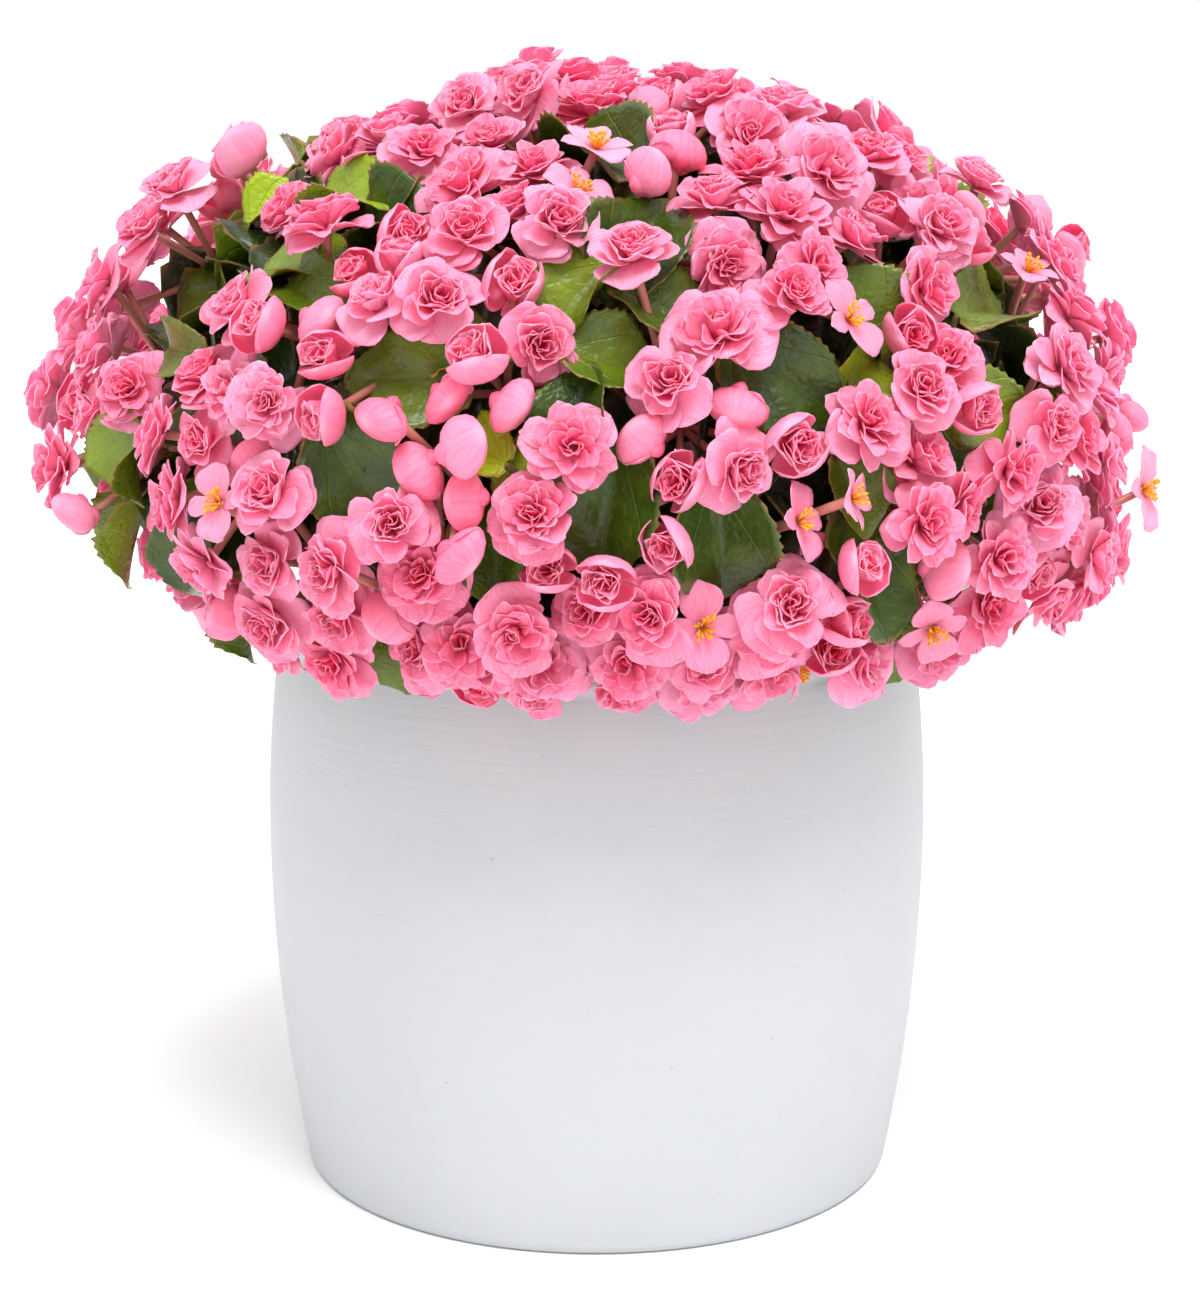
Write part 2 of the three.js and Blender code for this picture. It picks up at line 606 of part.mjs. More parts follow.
function bladePoints(leaf) {
  const across = new THREE.Vector3().crossVectors(leaf.ahead, leaf.axis);
  const size = leaf.length;
  const at = (x, y, z) => placed(leaf.base, across, leaf.ahead, leaf.axis, x * size, y * size, z * size);
  const cup = 0.1 + 0.05 * Math.sin(leaf.wave);
  const rows = BLADE_ROWS.map(([ahead, half, wave], row) => {
    const sway = wave * Math.cos(leaf.wave + row);
    const edge = cup * (half / 0.44) ** 2 - 0.1 * ahead * ahead;
    return [
      at(-half * 1.04, ahead - 0.02, edge + sway),
      at(0, ahead, -0.1 * ahead * ahead),
      at(half * 0.96, ahead + 0.02, edge - sway),
    ];
  });
  return [at(0, 0, 0), rows, at(0.02, 1, -0.13)];
}

// A blade and its stalk in one skin: the stalk's ring takes the place of the rib's first point below.
function leafSolid(leaf, extra = 0) {
  const [base, rows, tip] = bladePoints(leaf);
  const topPoints = [base, ...rows.flat(), tip];
  const last = topPoints.length - 1;
  const topFaces = [[0, 1, 2], [0, 2, 3], [last, last - 2, last - 3], [last, last - 1, last - 2]];
  for (let row = 0; row + 1 < rows.length; row += 1) {
    const first = 1 + row * 3;
    topFaces.push([first, first + 3, first + 4], [first, first + 4, first + 1]);
    topFaces.push([first + 1, first + 4, first + 2], [first + 2, first + 4, first + 5]);
  }
  const outline = [0, 3, 6, 9, last, 7, 4, 1];
  const middle = base.clone().lerp(tip, 0.5);
  const grown = topPoints.map((point) => {
    return point.clone().addScaledVector(point.clone().sub(middle).normalize(), extra * 1.5);
  });
  const upper = grown.map((point) => point.clone().addScaledVector(leaf.axis, extra * 1.4));
  const lower = grown.map((point, k) => {
    const rib = k > 0 && k < last && k % 3 === 2 ? BLADE_ROWS[(k - 2) / 3][3] : BLADE_THICKNESS;
    return point.clone().addScaledVector(leaf.axis, -rib - extra * 1.4);
  });
  const count = topPoints.length;
  const joint = 2;
  const away = leaf.spot.point.clone().sub(lower[joint]).normalize();
  const ringTurn = angleAround(away, lower[0].clone().sub(lower[joint]));
  const collar = regularRing(lower[joint], away, LEAF_STALK * 0.9 + extra * 2, 3, ringTurn);
  const foot = regularRing(leaf.spot.point.clone().addScaledVector(away, extra), away,
    LEAF_STALK * 1.2 + extra * 2, 3, ringTurn);
  const ringFirst = count * 2;
  const footFirst = ringFirst + 3;
  const around = [0, 1, 5, 3].map((k) => k + count);
  const faces = [
    ...topFaces,
    ...topFaces.filter((face) => !face.includes(joint)).map(([a, b, c]) => [a + count, c + count, b + count]),
    ...outline.flatMap((a, k) => {
      const b = outline[(k + 1) % outline.length];
      return [[a, b, b + count], [a, b + count, a + count]];
    }),
    ...band(around, [0, 1, 2].map((k) => k + ringFirst)).map(([a, b, c]) => [a, c, b]),
    ...[0, 1, 2].flatMap((k) => {
      const next = (k + 1) % 3;
      return [[ringFirst + k, footFirst + k, footFirst + next], [ringFirst + k, footFirst + next, ringFirst + next]];
    }),
    [footFirst, footFirst + 2, footFirst + 1],
  ];
  return solidOf([...upper, ...lower, ...collar, ...foot], faces);
}

function stalk(from, to, startRadius, endRadius, extra = 0, sides = 3) {
  const axis = to.clone().sub(from).normalize();
  return loft([
    regularRing(from.clone().addScaledVector(axis, -extra), axis, startRadius + extra * 2, sides),
    regularRing(to.clone().addScaledVector(axis, extra), axis, endRadius + extra * 2, sides),
  ]);
}

// ---------------------------------------------------------------- blooms
// A bloom's rings from its stalk outwards: the stalk's top, the outer petals and the crown of inner ones.
function bloomRings(bloom, extra = 0) {
  const form = BLOOM_FORMS[bloom.kind];
  const size = bloom.radius + extra * 1.6;
  const [side, top] = frameAcross(bloom.axis);
  const at = (radius, angle, rise) => placed(bloom.point, side, top, bloom.axis,
    radius * size * Math.cos(angle), radius * size * Math.sin(angle), rise * size);
  const step = Math.PI / form.tips;
  const outer = Array.from({ length: form.tips * 2 }, (_, k) => {
    const notch = k % 2 === 1;
    return at(notch ? form.notch : 0.99, bloom.turn + k * step, notch ? -0.06 : form.tipRise);
  });
  const crown = Array.from({ length: form.tips }, (_, k) => {
    return at(form.crown, bloom.turn + (2 * k + 1) * step, form.crownRise);
  });
  const outward = bloom.point.clone().sub(bloom.hub).normalize();
  const neck = bloom.point.clone().addScaledVector(bloom.axis, -0.4 * bloom.radius);
  const calyx = regularRing(neck, outward, BLOOM_STALK + extra * 2, 3, bloom.turn);
  return { rings: form.crown > 0 ? [calyx, outer, crown] : [calyx, outer], heart: at(0, 0, form.heart) };
}

// A bloom alone on its stalk, a little larger than life: the room that other pieces leave free for it.
function bloomRoom(bloom) {
  const { rings, heart } = bloomRings(bloom, CLEARANCE);
  const outward = bloom.point.clone().sub(bloom.hub).normalize();
  const root = regularRing(bloom.hub, outward, HUB_RADIUS * 1.5, 5, bloom.turn);
  const back = bloom.hub.clone().addScaledVector(outward, -HUB_RADIUS);
  return loft([root, ...rings], back, heart);
}

// One cluster. The hub's front is a fan of triangles, and a stalk rises from each of them to the bloom that
// lies the same way round the hub's axis.
function clusterSolid(hub, blooms, foot) {
  const middle = blooms.reduce((sum, bloom) => sum.add(bloom.point), new THREE.Vector3());
  const outward = middle.divideScalar(blooms.length).sub(hub).normalize();
  const turnOf = (bloom) => angleAround(outward, bloom.point.clone().sub(hub));
  const sorted = [...blooms].sort((a, b) => turnOf(a) - turnOf(b));
  const turns = sorted.map(turnOf);
  const even = (2 * Math.PI) / sorted.length;
  const lead = turns.reduce((sum, turn, k) => sum + turn - k * even, 0) / turns.length;
  const front = hub.clone().addScaledVector(outward, HUB_RADIUS * 0.5);
  const hubRing = turns.map((turn, k) => {
    const before = k > 0 ? turns[k - 1] : turns.at(-1) - 2 * Math.PI;
    const regular = lead + (k - 0.5) * even;
    return regularRing(hub, outward, HUB_RADIUS, 1, ((before + turn) / 2 + regular) / 2)[0];
  });
  const grown = sorted.map((bloom, k) => {
    const { rings, heart } = bloomRings(bloom);
    const sector = [front, hubRing[k], hubRing[(k + 1) % hubRing.length]];
    return loft([sector, nearestTurn(rings[0], sector), ...rings.slice(1)], null, heart);
  });
  const footRing = regularRing(foot, outward, BUNCH_STALK, 3, lead - even / 2);
  return wasm.Manifold.union([...grown, loft([footRing, hubRing], null, front)]);
}

// A ring started at the point that brings it nearest to another ring of as many points.
function nearestTurn(ring, other) {
  const turns = ring.map((_, k) => [...ring.slice(k), ...ring.slice(0, k)]);
  const away = turns.map((turnedRing) => turnedRing.reduce((sum, point, k) => sum + point.distanceTo(other[k]), 0));
  return turns[away.indexOf(Math.min(...away))];
}

// The foot of each cluster's own stalk: the first stands on the stem, and a second one ends in a short stub.
function clusterFeet({ hubs, spot }) {
  return hubs.map((hub, cluster) => {
    return cluster === 0 ? spot.point : hub.clone().addScaledVector(facing(hub), -2 * HUB_RADIUS);
  });
}

function bunchSolid(plan) {
  const { hubs, blooms } = plan;
  const pieces = clusterFeet(plan).map((foot, cluster) => {
    return clusterSolid(hubs[cluster], blooms.filter((bloom) => bloom.cluster === cluster), foot);
  });
  if (hubs[1]) pieces.push(stalk(...hubs, BUNCH_STALK, BUNCH_STALK));
  return wasm.Manifold.union(pieces);
}

// The room of a whole bunch: a wide stalk along each of its own, and the room of every bloom.
function bunchRoom(plan) {
  const { hubs, blooms } = plan;
  const runs = clusterFeet(plan).map((foot, cluster) => [hubs[cluster], foot]);
  if (hubs[1]) runs.push([hubs[1], hubs[0]]);
  const wide = runs.map(([from, to]) => stalk(from, to, HUB_RADIUS * 1.1, BUNCH_STALK * 1.1, CLEARANCE, 5));
  return [...wide, ...blooms.map(bloomRoom)];
}

// ---------------------------------------------------------------- fitting the pieces round each other
function boxesMeet(a, b) {
  const [p, q] = [a.boundingBox(), b.boundingBox()];
  return [0, 1, 2].every((k) => p.min[k] < q.max[k] && q.min[k] < p.max[k]);
}

function cutClear(solid, others) {
  return others.reduce((left, other) => (boxesMeet(left, other) ? left.subtract(other) : left), solid);
}

// ---------------------------------------------------------------- materials
const glazeWhite = new THREE.MeshStandardMaterial({ color: 0xeaebee, roughness: 0.45, metalness: 0 });
const soilBrown = new THREE.MeshStandardMaterial({ color: 0x2c2018, roughness: 0.95, metalness: 0 });
const leafGreen = new THREE.MeshStandardMaterial({ color: 0x45611d, roughness: 0.35, metalness: 0 });
const bloomPink = new THREE.MeshStandardMaterial({ color: 0xf57fa8, roughness: 0.6, metalness: 0 });

// ---------------------------------------------------------------- assembly
const { stems, plans, leaves } = layOut();
const tubes = stems.map((curve) => stemTube(curve));
const wideTubes = stems.map((curve) => stemTube(curve, CLEARANCE));
const group = new THREE.Group();
group.add(meshOf('pot', buildPot(), glazeWhite));
group.add(meshOf('soil', buildSoil(wideTubes), soilBrown));

const twoDigits = (number) => String(number).padStart(2, '0');
const bunchRooms = [];
plans.forEach((plan) => {
  const solid = mainBody(cutClear(bunchSolid(plan), [...wideTubes, ...bunchRooms]));
  group.add(meshOf(`bloom_bunch_${twoDigits(plan.bunch + 1)}`, solid, bloomPink));
  bunchRooms.push(...bunchRoom(plan));
});

const wideLeafyStems = [];
tubes.forEach((tube, stem) => {
  const own = leaves.filter((leaf) => leaf.spot.stem === stem);
  const others = [...bunchRooms, ...wideTubes.filter((_, k) => k !== stem), ...wideLeafyStems];
  const foliage = own.map((leaf) => cutClear(leafSolid(leaf), others));
  const solid = mainBody(wasm.Manifold.union([tube, ...foliage]));
  group.add(meshOf(`leafy_stem_${twoDigits(stem + 1)}`, solid, leafGreen));
  wideLeafyStems.push(...own.map((leaf) => leafSolid(leaf, CLEARANCE * 2)));
});

export default group;
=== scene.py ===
"""Looks of a double-flowered pink begonia in full bloom, standing in a white barrel-shaped pot.

Sizes in this file are millimetres until a piece is finished; the scene itself is in metres, +Z up, with the
front towards -Y. The plant is laid out by the same rule as its solids, so each fine piece lies where they do.
"""
from math import cos, pi, radians, sin, sqrt
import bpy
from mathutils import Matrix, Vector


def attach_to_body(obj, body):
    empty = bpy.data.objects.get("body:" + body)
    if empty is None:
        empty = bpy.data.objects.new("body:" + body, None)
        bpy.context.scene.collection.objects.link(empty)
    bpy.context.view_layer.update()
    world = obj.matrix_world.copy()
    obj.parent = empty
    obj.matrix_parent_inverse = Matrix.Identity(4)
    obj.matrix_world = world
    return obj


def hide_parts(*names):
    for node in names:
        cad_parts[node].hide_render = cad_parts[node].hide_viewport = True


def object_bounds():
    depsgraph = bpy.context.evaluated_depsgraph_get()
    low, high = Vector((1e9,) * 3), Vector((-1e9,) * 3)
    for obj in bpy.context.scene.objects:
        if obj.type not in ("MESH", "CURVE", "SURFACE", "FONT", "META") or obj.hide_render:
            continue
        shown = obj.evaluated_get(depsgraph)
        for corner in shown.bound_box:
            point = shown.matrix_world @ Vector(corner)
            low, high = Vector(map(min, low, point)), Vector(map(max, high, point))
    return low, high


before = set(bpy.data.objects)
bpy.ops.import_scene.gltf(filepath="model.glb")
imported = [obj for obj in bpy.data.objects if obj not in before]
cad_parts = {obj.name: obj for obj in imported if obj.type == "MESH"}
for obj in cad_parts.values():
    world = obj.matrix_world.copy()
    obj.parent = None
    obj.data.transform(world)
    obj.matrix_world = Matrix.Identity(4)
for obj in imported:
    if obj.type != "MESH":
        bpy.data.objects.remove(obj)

from types import SimpleNamespace

import bpy
import numpy as np
from mathutils import Matrix, Vector

CAD_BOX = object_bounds()

# ---- the same sizes as the solids, in millimetres
POT_HEIGHT, BELLY_RADIUS, BELLY_HEIGHT = 265, 150, 157
RIM_RADIUS, FOOT_RADIUS, FOOT_ROUND = 140.6, 134.5, 4
WALL, FLOOR_DEPTH = 11, 13
COLLAR_DEPTH, COLLAR_STEP = 19, 0.9
DRAIN_HOLES, DRAIN_RADIUS, DRAIN_CIRCLE = 4, 7, 62
SOIL_TOP = 240
MOUND_Z, MOUND_RADIUS, MOUND_UP, MOUND_DOWN = 320, 233, 173, 98
FACING_DEPTH, MOUND_SEED, SPACING_SWEEPS = 40, 20, 140
STEMS, STEM_RADIUS, STEM_ROOT_Z, STEM_CIRCLE = 12, 4.2, 196, 84
STEM_REACH, INNER_STEM_MIDDLE, OUTER_STEM_MIDDLE, STEM_STEPS = 0.64, 330, 288, 4
BLOOM_STALK, BUNCH_STALK, STALK_CLEARANCE = 1.7, 2.2, 0.9
GOLDEN_ANGLE, HUB_DEPTH, BLOOM_SPREAD, BLOOM_FACING, BLOOM_TILT = 137.508, 34, 15, 1.1, 0.7
LEAF_STALK, LEAF_LIFT, BACK_LEAVES, SPOT_BACK = 1.7, 0.93, 26, 0.015
LEAF_SINKS = [0, 5, -5, 10, 15]
LEAF_TURNS = [0, 20, -20, 40, -40]
LEAF_TILTS = [(0, 0), (0.3, 0), (-0.3, 0), (0, 0.3), (0, -0.3), (0.3, 0.3), (-0.3, 0.3), (-0.3, -0.3)]
# Rows of a blade as shares of its length: how far along, half the width there, and how far its edges sway.
BLADE_ROWS = [(0.14, 0.34, 0.045), (0.5, 0.44, -0.04), (0.82, 0.27, 0.05)]
WIDEST_HALF, BLADE_CUP, BLADE_CUP_WAVE, BLADE_DROOP, BLADE_CLEARANCE = 0.44, 0.1, 0.05, 0.1, 1.5
BLOOM_RADII = {"R": 17, "C": 18, "B": 12.6, "S": 15.6}
# Bunches in front, one to three clusters each: azimuth, elevation, kinds of bloom, and how far out it stands.
# The kinds are R for rosette, C for open double, B for bud and S for single.
FRONT_BUNCHES = [
    [(-69, 10, "RCRRB"), (-82, 23, "RRCRRB", 1.03)], [(-83, 37, "RRSRBR", 1.05), (-80, 47, "BBBB", 1.03)],
    [(-39, 54, "RCRRRCB", 0.96)], [(-18, 70, "BRRBRB")], [(20, 72, "BRRSRB", 0.98)],
    [(39, 60, "RSRSRR"), (54, 52, "RRCRBB")], [(83, 36, "RBRRB", 1.05), (76, 23, "RRCBS", 1.02)],
    [(43, 36, "RBRB"), (35, 20, "RBB")], [(-11, 41, "RRCRSRRSB")], [(22, 32, "CCRRRSC"), (13, 42, "BBR")],
    [(-37, 26, "RBRBB"), (-23, 27, "RBBR")], [(-37, 12, "RCCRRCBC")], [(-7, 21, "BBBB")],
    [(-14, 9, "BBBB"), (-17, 0, "RRBB")], [(10, 17, "RRRBBRB")], [(16, 2, "SSBBBC"), (-3, 5, "CRB")],
    [(33, 7, "CCRCCCS")], [(60, 11, "CCRCRB", 1.02)], [(59, -5, "RRCRRCB")], [(47, -17, "CRCRRB")],
    [(-13, -28, "RRRCBRRBR")], [(5, -8, "RRSBR")], [(16, -32, "CRRSRBR"), (27, -24, "RBBB")],
    [(-32, -9, "RRSCRBRBC")],
]
# Rows of clusters round the back: elevation, first and last azimuth, count, and how far out the ends stand.
BACK_ROWS = [
    (-24, 80, 286, 8, 1.04, 0.9), (5, 96, 250, 8, 1, 1), (34, 112, 246, 6, 1.02, 1.03),
    (59, 105, 255, 4, 0.99, 0.94), (82, 110, 250, 2, 0.93, 0.98),
]
BACK_CODES = ["RRCRS", "CRRBR", "RCRRB", "RRCRB"]
BACK_BLOOM_SCALE = 1.1
# Spacing of two neighbours as a share of their radii: in one cluster, in two, of leaves, of leaf and bloom.
GAP_ALIKE, GAP_APART, GAP_LEAVES, GAP_LEAF_BLOOM = 0.85, 0.99, 0.9, 0.92
LEAF_PULL, BLOOM_PULL, PUSH = 0.03, 0.012, 0.3
LEAF_RADIUS, LEAF_MARGIN, POT_CLEARANCE, TILT_SHARE = 0.42, 12, 3, 0.8
# Leaves in front: azimuth, elevation, length and heading.
FRONT_LEAVES = [
    (-20, 20, 50, -95), (-44, 41, 49, -100), (-37, 49, 45, 60), (-31, 47, 42, 75), (-63, 48, 33, -20),
    (-33, 35, 38, 90), (5, 62, 54, -60), (7, 37, 52, 10), (-2, 33, 44, -140), (8, 30, 40, 120),
    (0, 22, 42, 100), (-9, 11, 31, -80), (-6, 13, 31, 60), (-1, 17, 40, 30), (1, 2, 54, 170),
    (-24, 3, 54, 170), (-25, 13, 31, -120), (-7, -3, 40, 180), (10, 2, 52, 150), (21, 19, 52, 130),
    (31, 26, 42, -30), (32, 23, 35, 60), (56, 29, 45, 90), (40, 14, 47, 110), (68, 47, 47, 80),
    (84, 54, 37, 60), (25, 8, 33, 160), (32, -14, 52, 150), (46, -46, 49, 180), (54, -40, 44, 175),
    (62, -38, 37, 180), (67, -30, 35, 170), (-60, -36, 38, 190), (-24, -50, 33, 180), (-50, -10, 44, -150),
    (-72, -18, 44, -170), (-62, 7, 42, -160), (-57, 22, 31, -90), (-16, 25, 33, 70),
]
UP = np.array([0.0, 0.0, 1.0])


# ---- small helpers
def seeded(seed):
    """A source of random numbers from 0 to 1 that is the same on every run."""
    state = seed

    def draw():
        nonlocal state
        state = (1664525 * state + 1013904223) & 0xFFFFFFFF
        return state / 4294967296

    return draw


def unit(vector):
    return vector / np.linalg.norm(vector)


def square_to(axis, direction):
    """The part of a direction that is square to an axis, with length 1."""
    return unit(direction - axis * (direction @ axis))


def frame_across(axis):
    """Two directions across an axis, the second as near to straight up as the axis lets it be."""
    side = np.cross(UP, axis)
    if np.linalg.norm(side) < 1e-3:
        side = np.array([1.0, 0.0, 0.0])
    side = unit(side)
    return side, np.cross(axis, side)


def around(axis, angle):
    """The direction across an axis at this angle round it."""
    side, top = frame_across(axis)
    return side * cos(angle) + top * sin(angle)


# ---- layout of the mound
def shell_point(azimuth, elevation, lift):
    """A point of the mound's surface, or of a share as large a one."""
    level = cos(radians(elevation)) * MOUND_RADIUS * lift
    reach = (MOUND_UP if elevation > 0 else MOUND_DOWN) * lift
    turn = radians(azimuth)
    height = MOUND_Z + reach * sin(radians(elevation))
    return np.array([level * sin(turn), -level * cos(turn), height])


def facing(point):
    """Which way a bloom or leaf at this point looks: away from a spot inside the mound."""
    return unit(np.array([point[0], point[1], point[2] - MOUND_Z + FACING_DEPTH]))


def back_bunches():
    """Bunches round the back, which the photograph doesn't show, two clusters each."""
    bunches = []
    for row, (elevation, first, last, count, first_reach, last_reach) in enumerate(BACK_ROWS):
        step = (last - first) / (count - 1)
        clusters = []
        for k in range(count):
            share = k / (count - 1)
            reach = (1 - share) * first_reach + share * last_reach
            clusters.append((first + step * k, elevation + (4 if k % 2 else -3),
                             BACK_CODES[(k + row) % len(BACK_CODES)], reach))
        bunches += [clusters[2 * k:2 * k + 2] for k in range(count // 2)]
    return bunches


def place_items(bunches):
    """Every bloom and leaf at its first place on the mound, before neighbours push each other apart."""
    draw = seeded(MOUND_SEED)
    items = []
    for bunch, clusters in enumerate(bunches):
        scale = 1 if bunch < len(FRONT_BUNCHES) else BACK_BLOOM_SCALE
        for cluster, (azimuth, elevation, code, *given) in enumerate(clusters):
            reach = given[0] if given else 1
            centre = shell_point(azimuth, elevation, 1)
            side, top = frame_across(facing(centre))
            phase = draw() * 360
            for k, kind in enumerate(code):
                away = BLOOM_SPREAD * scale * sqrt(k * 1.7 if len(code) > 3 else k + 0.6)
                angle = radians(phase + k * GOLDEN_ANGLE)
                items.append(SimpleNamespace(
                    kind=kind, bunch=bunch, cluster=cluster,
                    point=centre + side * away * cos(angle) + top * away * sin(angle),
                    radius=BLOOM_RADII[kind] * scale * (0.9 + 0.2 * draw()),
                    lift=reach * (0.955 + 0.075 * draw()),
                    tilt=(draw() - 0.5, draw() - 0.5), turn=draw() * 2 * pi))
    rows = list(FRONT_LEAVES)
    for k in range(BACK_LEAVES):
        azimuth = 92 + 178 * ((k * 0.618034) % 1)
        elevation = -42 + 118 * ((k + 0.5) / BACK_LEAVES) ** 1.15
        rows.append((azimuth, elevation, 38 + 15 * draw(), 360 * draw()))
    for azimuth, elevation, length, heading in rows:
        items.append(SimpleNamespace(
            kind="L", bunch=-1, cluster=-1, point=shell_point(azimuth, elevation, LEAF_LIFT),
            radius=length * LEAF_RADIUS, lift=LEAF_LIFT, length=length, turn=radians(heading),
            tilt=(draw() - 0.5, draw() - 0.5), wave=draw() * 2 * pi))
    return items


def space_out(items):
    """Neighbours push each other apart over the mound's surface while each is drawn back to its place."""
    points = np.array([item.point for item in items])
    homes = points.copy()
    radii = np.array([item.radius for item in items])
    lifts = np.array([item.lift for item in items])
    leaf = np.array([item.kind == "L" for item in items])
    both = radii[:, None] + radii[None, :]
    leaves_met = leaf[:, None].astype(int) + leaf[None, :]
    clusters = np.array([10 * item.bunch + item.cluster for item in items])
    alike = clusters[:, None] == clusters[None, :]
    gaps = np.where(alike, both * GAP_ALIKE, both * GAP_APART + 0.6)
    gaps = np.where(leaves_met == 1, both * GAP_LEAF_BLOOM, gaps)
    gaps = np.where(leaves_met == 2, both * GAP_LEAVES, gaps)
    np.fill_diagonal(gaps, 0)
    pull = np.where(leaf, LEAF_PULL, BLOOM_PULL)[:, None]
    margin = np.where(leaf, LEAF_MARGIN, radii)
    needed = BELLY_RADIUS + margin + POT_CLEARANCE
    for _ in range(SPACING_SWEEPS):
        apart = points[:, None, :] - points[None, :, :]
        distance = np.maximum(np.linalg.norm(apart, axis=2), 1e-12)
        short = np.maximum(gaps - distance, 0)
        points = points + (apart * (short / distance * PUSH)[:, :, None]).sum(axis=1)
        points = points + (homes - points) * pull
        rise = points[:, 2] - MOUND_Z
        reach = np.where(rise > 0, MOUND_UP, MOUND_DOWN)
        scale = lifts / np.sqrt(((points[:, :2] / MOUND_RADIUS) ** 2).sum(axis=1) + (rise / reach) ** 2)
        points = np.column_stack([points[:, :2] * scale[:, None], MOUND_Z + rise * scale])
        level = np.hypot(points[:, 0], points[:, 1])
        inside = (points[:, 2] - margin <= POT_HEIGHT + POT_CLEARANCE) & (level < needed)
        points[:, :2] *= np.where(inside, needed / level, 1)[:, None]
    for item, point in zip(items, points):
        item.point = point


# ---- stems and what hangs on them
def stem_plan():
    """Each stem as a smooth curve: its root in the soil, a middle and its end inside the mound."""
    stems = []
    for k in range(STEMS):
        share = sqrt((k + 0.5) / STEMS)
        turn = radians(k * GOLDEN_ANGLE)
        root = np.array([sin(turn), -cos(turn), 0]) * STEM_CIRCLE * share
        inner = share < 0.5
        middle = np.array([root[0] * 1.12, root[1] * 1.12, INNER_STEM_MIDDLE if inner else OUTER_STEM_MIDDLE])
        root[2] = STEM_ROOT_Z
        end = shell_point(k * GOLDEN_ANGLE, 58 if inner else 34 - 26 * share, STEM_REACH)
        stems.append((root, middle, end))
    return stems


def on_curve(curve, share):
    """The point this share along a smooth curve, drawn towards its middle point."""
    start, middle, end = curve
    return (1 - share) ** 2 * start + 2 * (1 - share) * share * middle + share ** 2 * end


def segment_distances(a, b, starts, ends):
    """How far the segment from a to b is from each of many others."""
    run, runs, gap = b - a, ends - starts, a - starts
    length = run @ run
    lengths = np.maximum((runs * runs).sum(axis=1), 1e-9)
    mix, slant, lean = runs @ run, (runs * gap).sum(axis=1), gap @ run
    spread = length * lengths - mix * mix
    safe = np.where(spread > 1e-9, spread, 1)
    s = np.where(spread > 1e-9, np.clip((mix * slant - lean * lengths) / safe, 0, 1), 0)
    t = np.clip((mix * s + slant) / lengths, 0, 1)
    s = np.clip((mix * t - lean) / length, 0, 1)
    return np.linalg.norm(a + run * s[:, None] - starts - runs * t[:, None], axis=1)


def clear_of_pot(start, end, radius):
    """Whether a stalk runs clear of the pot's wall and rim and of the soil."""
    for k in range(9):
        point = start + (end - start) * (k / 8)
        distance = np.hypot(point[0], point[1])
        low = point[2] - radius < POT_HEIGHT + 2
        inside = distance < RIM_RADIUS - WALL - radius - 4 and point[2] > SOIL_TOP + 6
        if low and not inside and distance < BELLY_RADIUS + radius + 2:
            return False
    return True


class Bars:
    """Stems and stalks that are already placed, each as a segment with a radius and an owner."""

    def __init__(self):
        self.owners, self.starts, self.ends, self.radii = [], [], [], []

    def add(self, owner, start, end, radius):
        self.owners.append(owner)
        self.starts.append(start)
        self.ends.append(end)
        self.radii.append(radius)

    def arrays(self):
        """The starts, ends and radii of all bars."""
        return np.array(self.starts), np.array(self.ends), np.array(self.radii)


def attach(start, stems, radius, owner, bars):
    """The stem and the nearest spot on it that a stalk can run to without touching anything else."""
    spots = []
    for stem, curve in enumerate(stems):
        for k in range(7, 21):
            point = on_curve(curve, k / 20 - SPOT_BACK)
            far = np.linalg.norm(point - start) + (6 if point[2] > start[2] else 0)
            spots.append((far, stem, point))
    spots.sort(key=lambda spot: spot[0])
    starts, ends, radii = bars.arrays()
    owners = np.array(bars.owners)
    for _, stem, point in spots:
        if clear_of_pot(start, point, radius):
            others = (owners != owner) & (owners != f"stem{stem}")
            distances = segment_distances(start, point, starts[others], ends[others])
            if np.all(distances > radius + radii[others] + STALK_CLEARANCE):
                return stem, point
    return spots[0][1:]


def blade_rows(wave):
    """Rows of a blade as shares of its length: left edge, rib and right edge from base to tip."""
    cup = BLADE_CUP + BLADE_CUP_WAVE * sin(wave)
    rows = []
    for row, (ahead, half, edge_wave) in enumerate(BLADE_ROWS):
        sway = edge_wave * cos(wave + row)
        droop = -BLADE_DROOP * ahead * ahead
        edge = cup * (half / WIDEST_HALF) ** 2 + droop
        rows.append([(-half * 1.04, ahead - 0.02, edge + sway), (0, ahead, droop),
                     (half * 0.96, ahead + 0.02, edge - sway)])
    return np.array(rows, dtype=float)


def leaf_poses(leaf):
    """The directions and places that a leaf may take: sunk, turned and tilted from its first place."""
    outward = facing(leaf.point)
    side, top = frame_across(outward)
    poses = []
    for sink in LEAF_SINKS:
        point = leaf.point - outward * sink
        for turn_more in LEAF_TURNS:
            turn = leaf.turn + radians(turn_more)
            heading = side * sin(turn) + top * cos(turn)
            for across, ahead_tilt in LEAF_TILTS:
                axis = unit(outward + side * (leaf.tilt[0] * TILT_SHARE + across)
                            + top * (leaf.tilt[1] * TILT_SHARE + ahead_tilt))
                ahead = square_to(axis, heading)
                poses.append((axis, ahead, point - ahead * leaf.length * 0.5))
    return poses


def blade_samples(wave):
    """Points over a blade of length 1, on its rows, between them and halfway to its edges."""
    rows = blade_rows(wave)
    base, tip = np.zeros(3), np.array([0.02, 1, -0.13])
    ribs = [np.array([base] * 3), *rows, np.array([tip] * 3)]
    between = [(row + ribs[k]) / 2 for k, row in enumerate(rows)]
    lines = [*rows, *between]
    halfway = [(line[k] + line[k + 1]) / 2 for line in lines for k in (0, 1)]
    return np.array([base, *[point for line in lines for point in line], *halfway, tip])


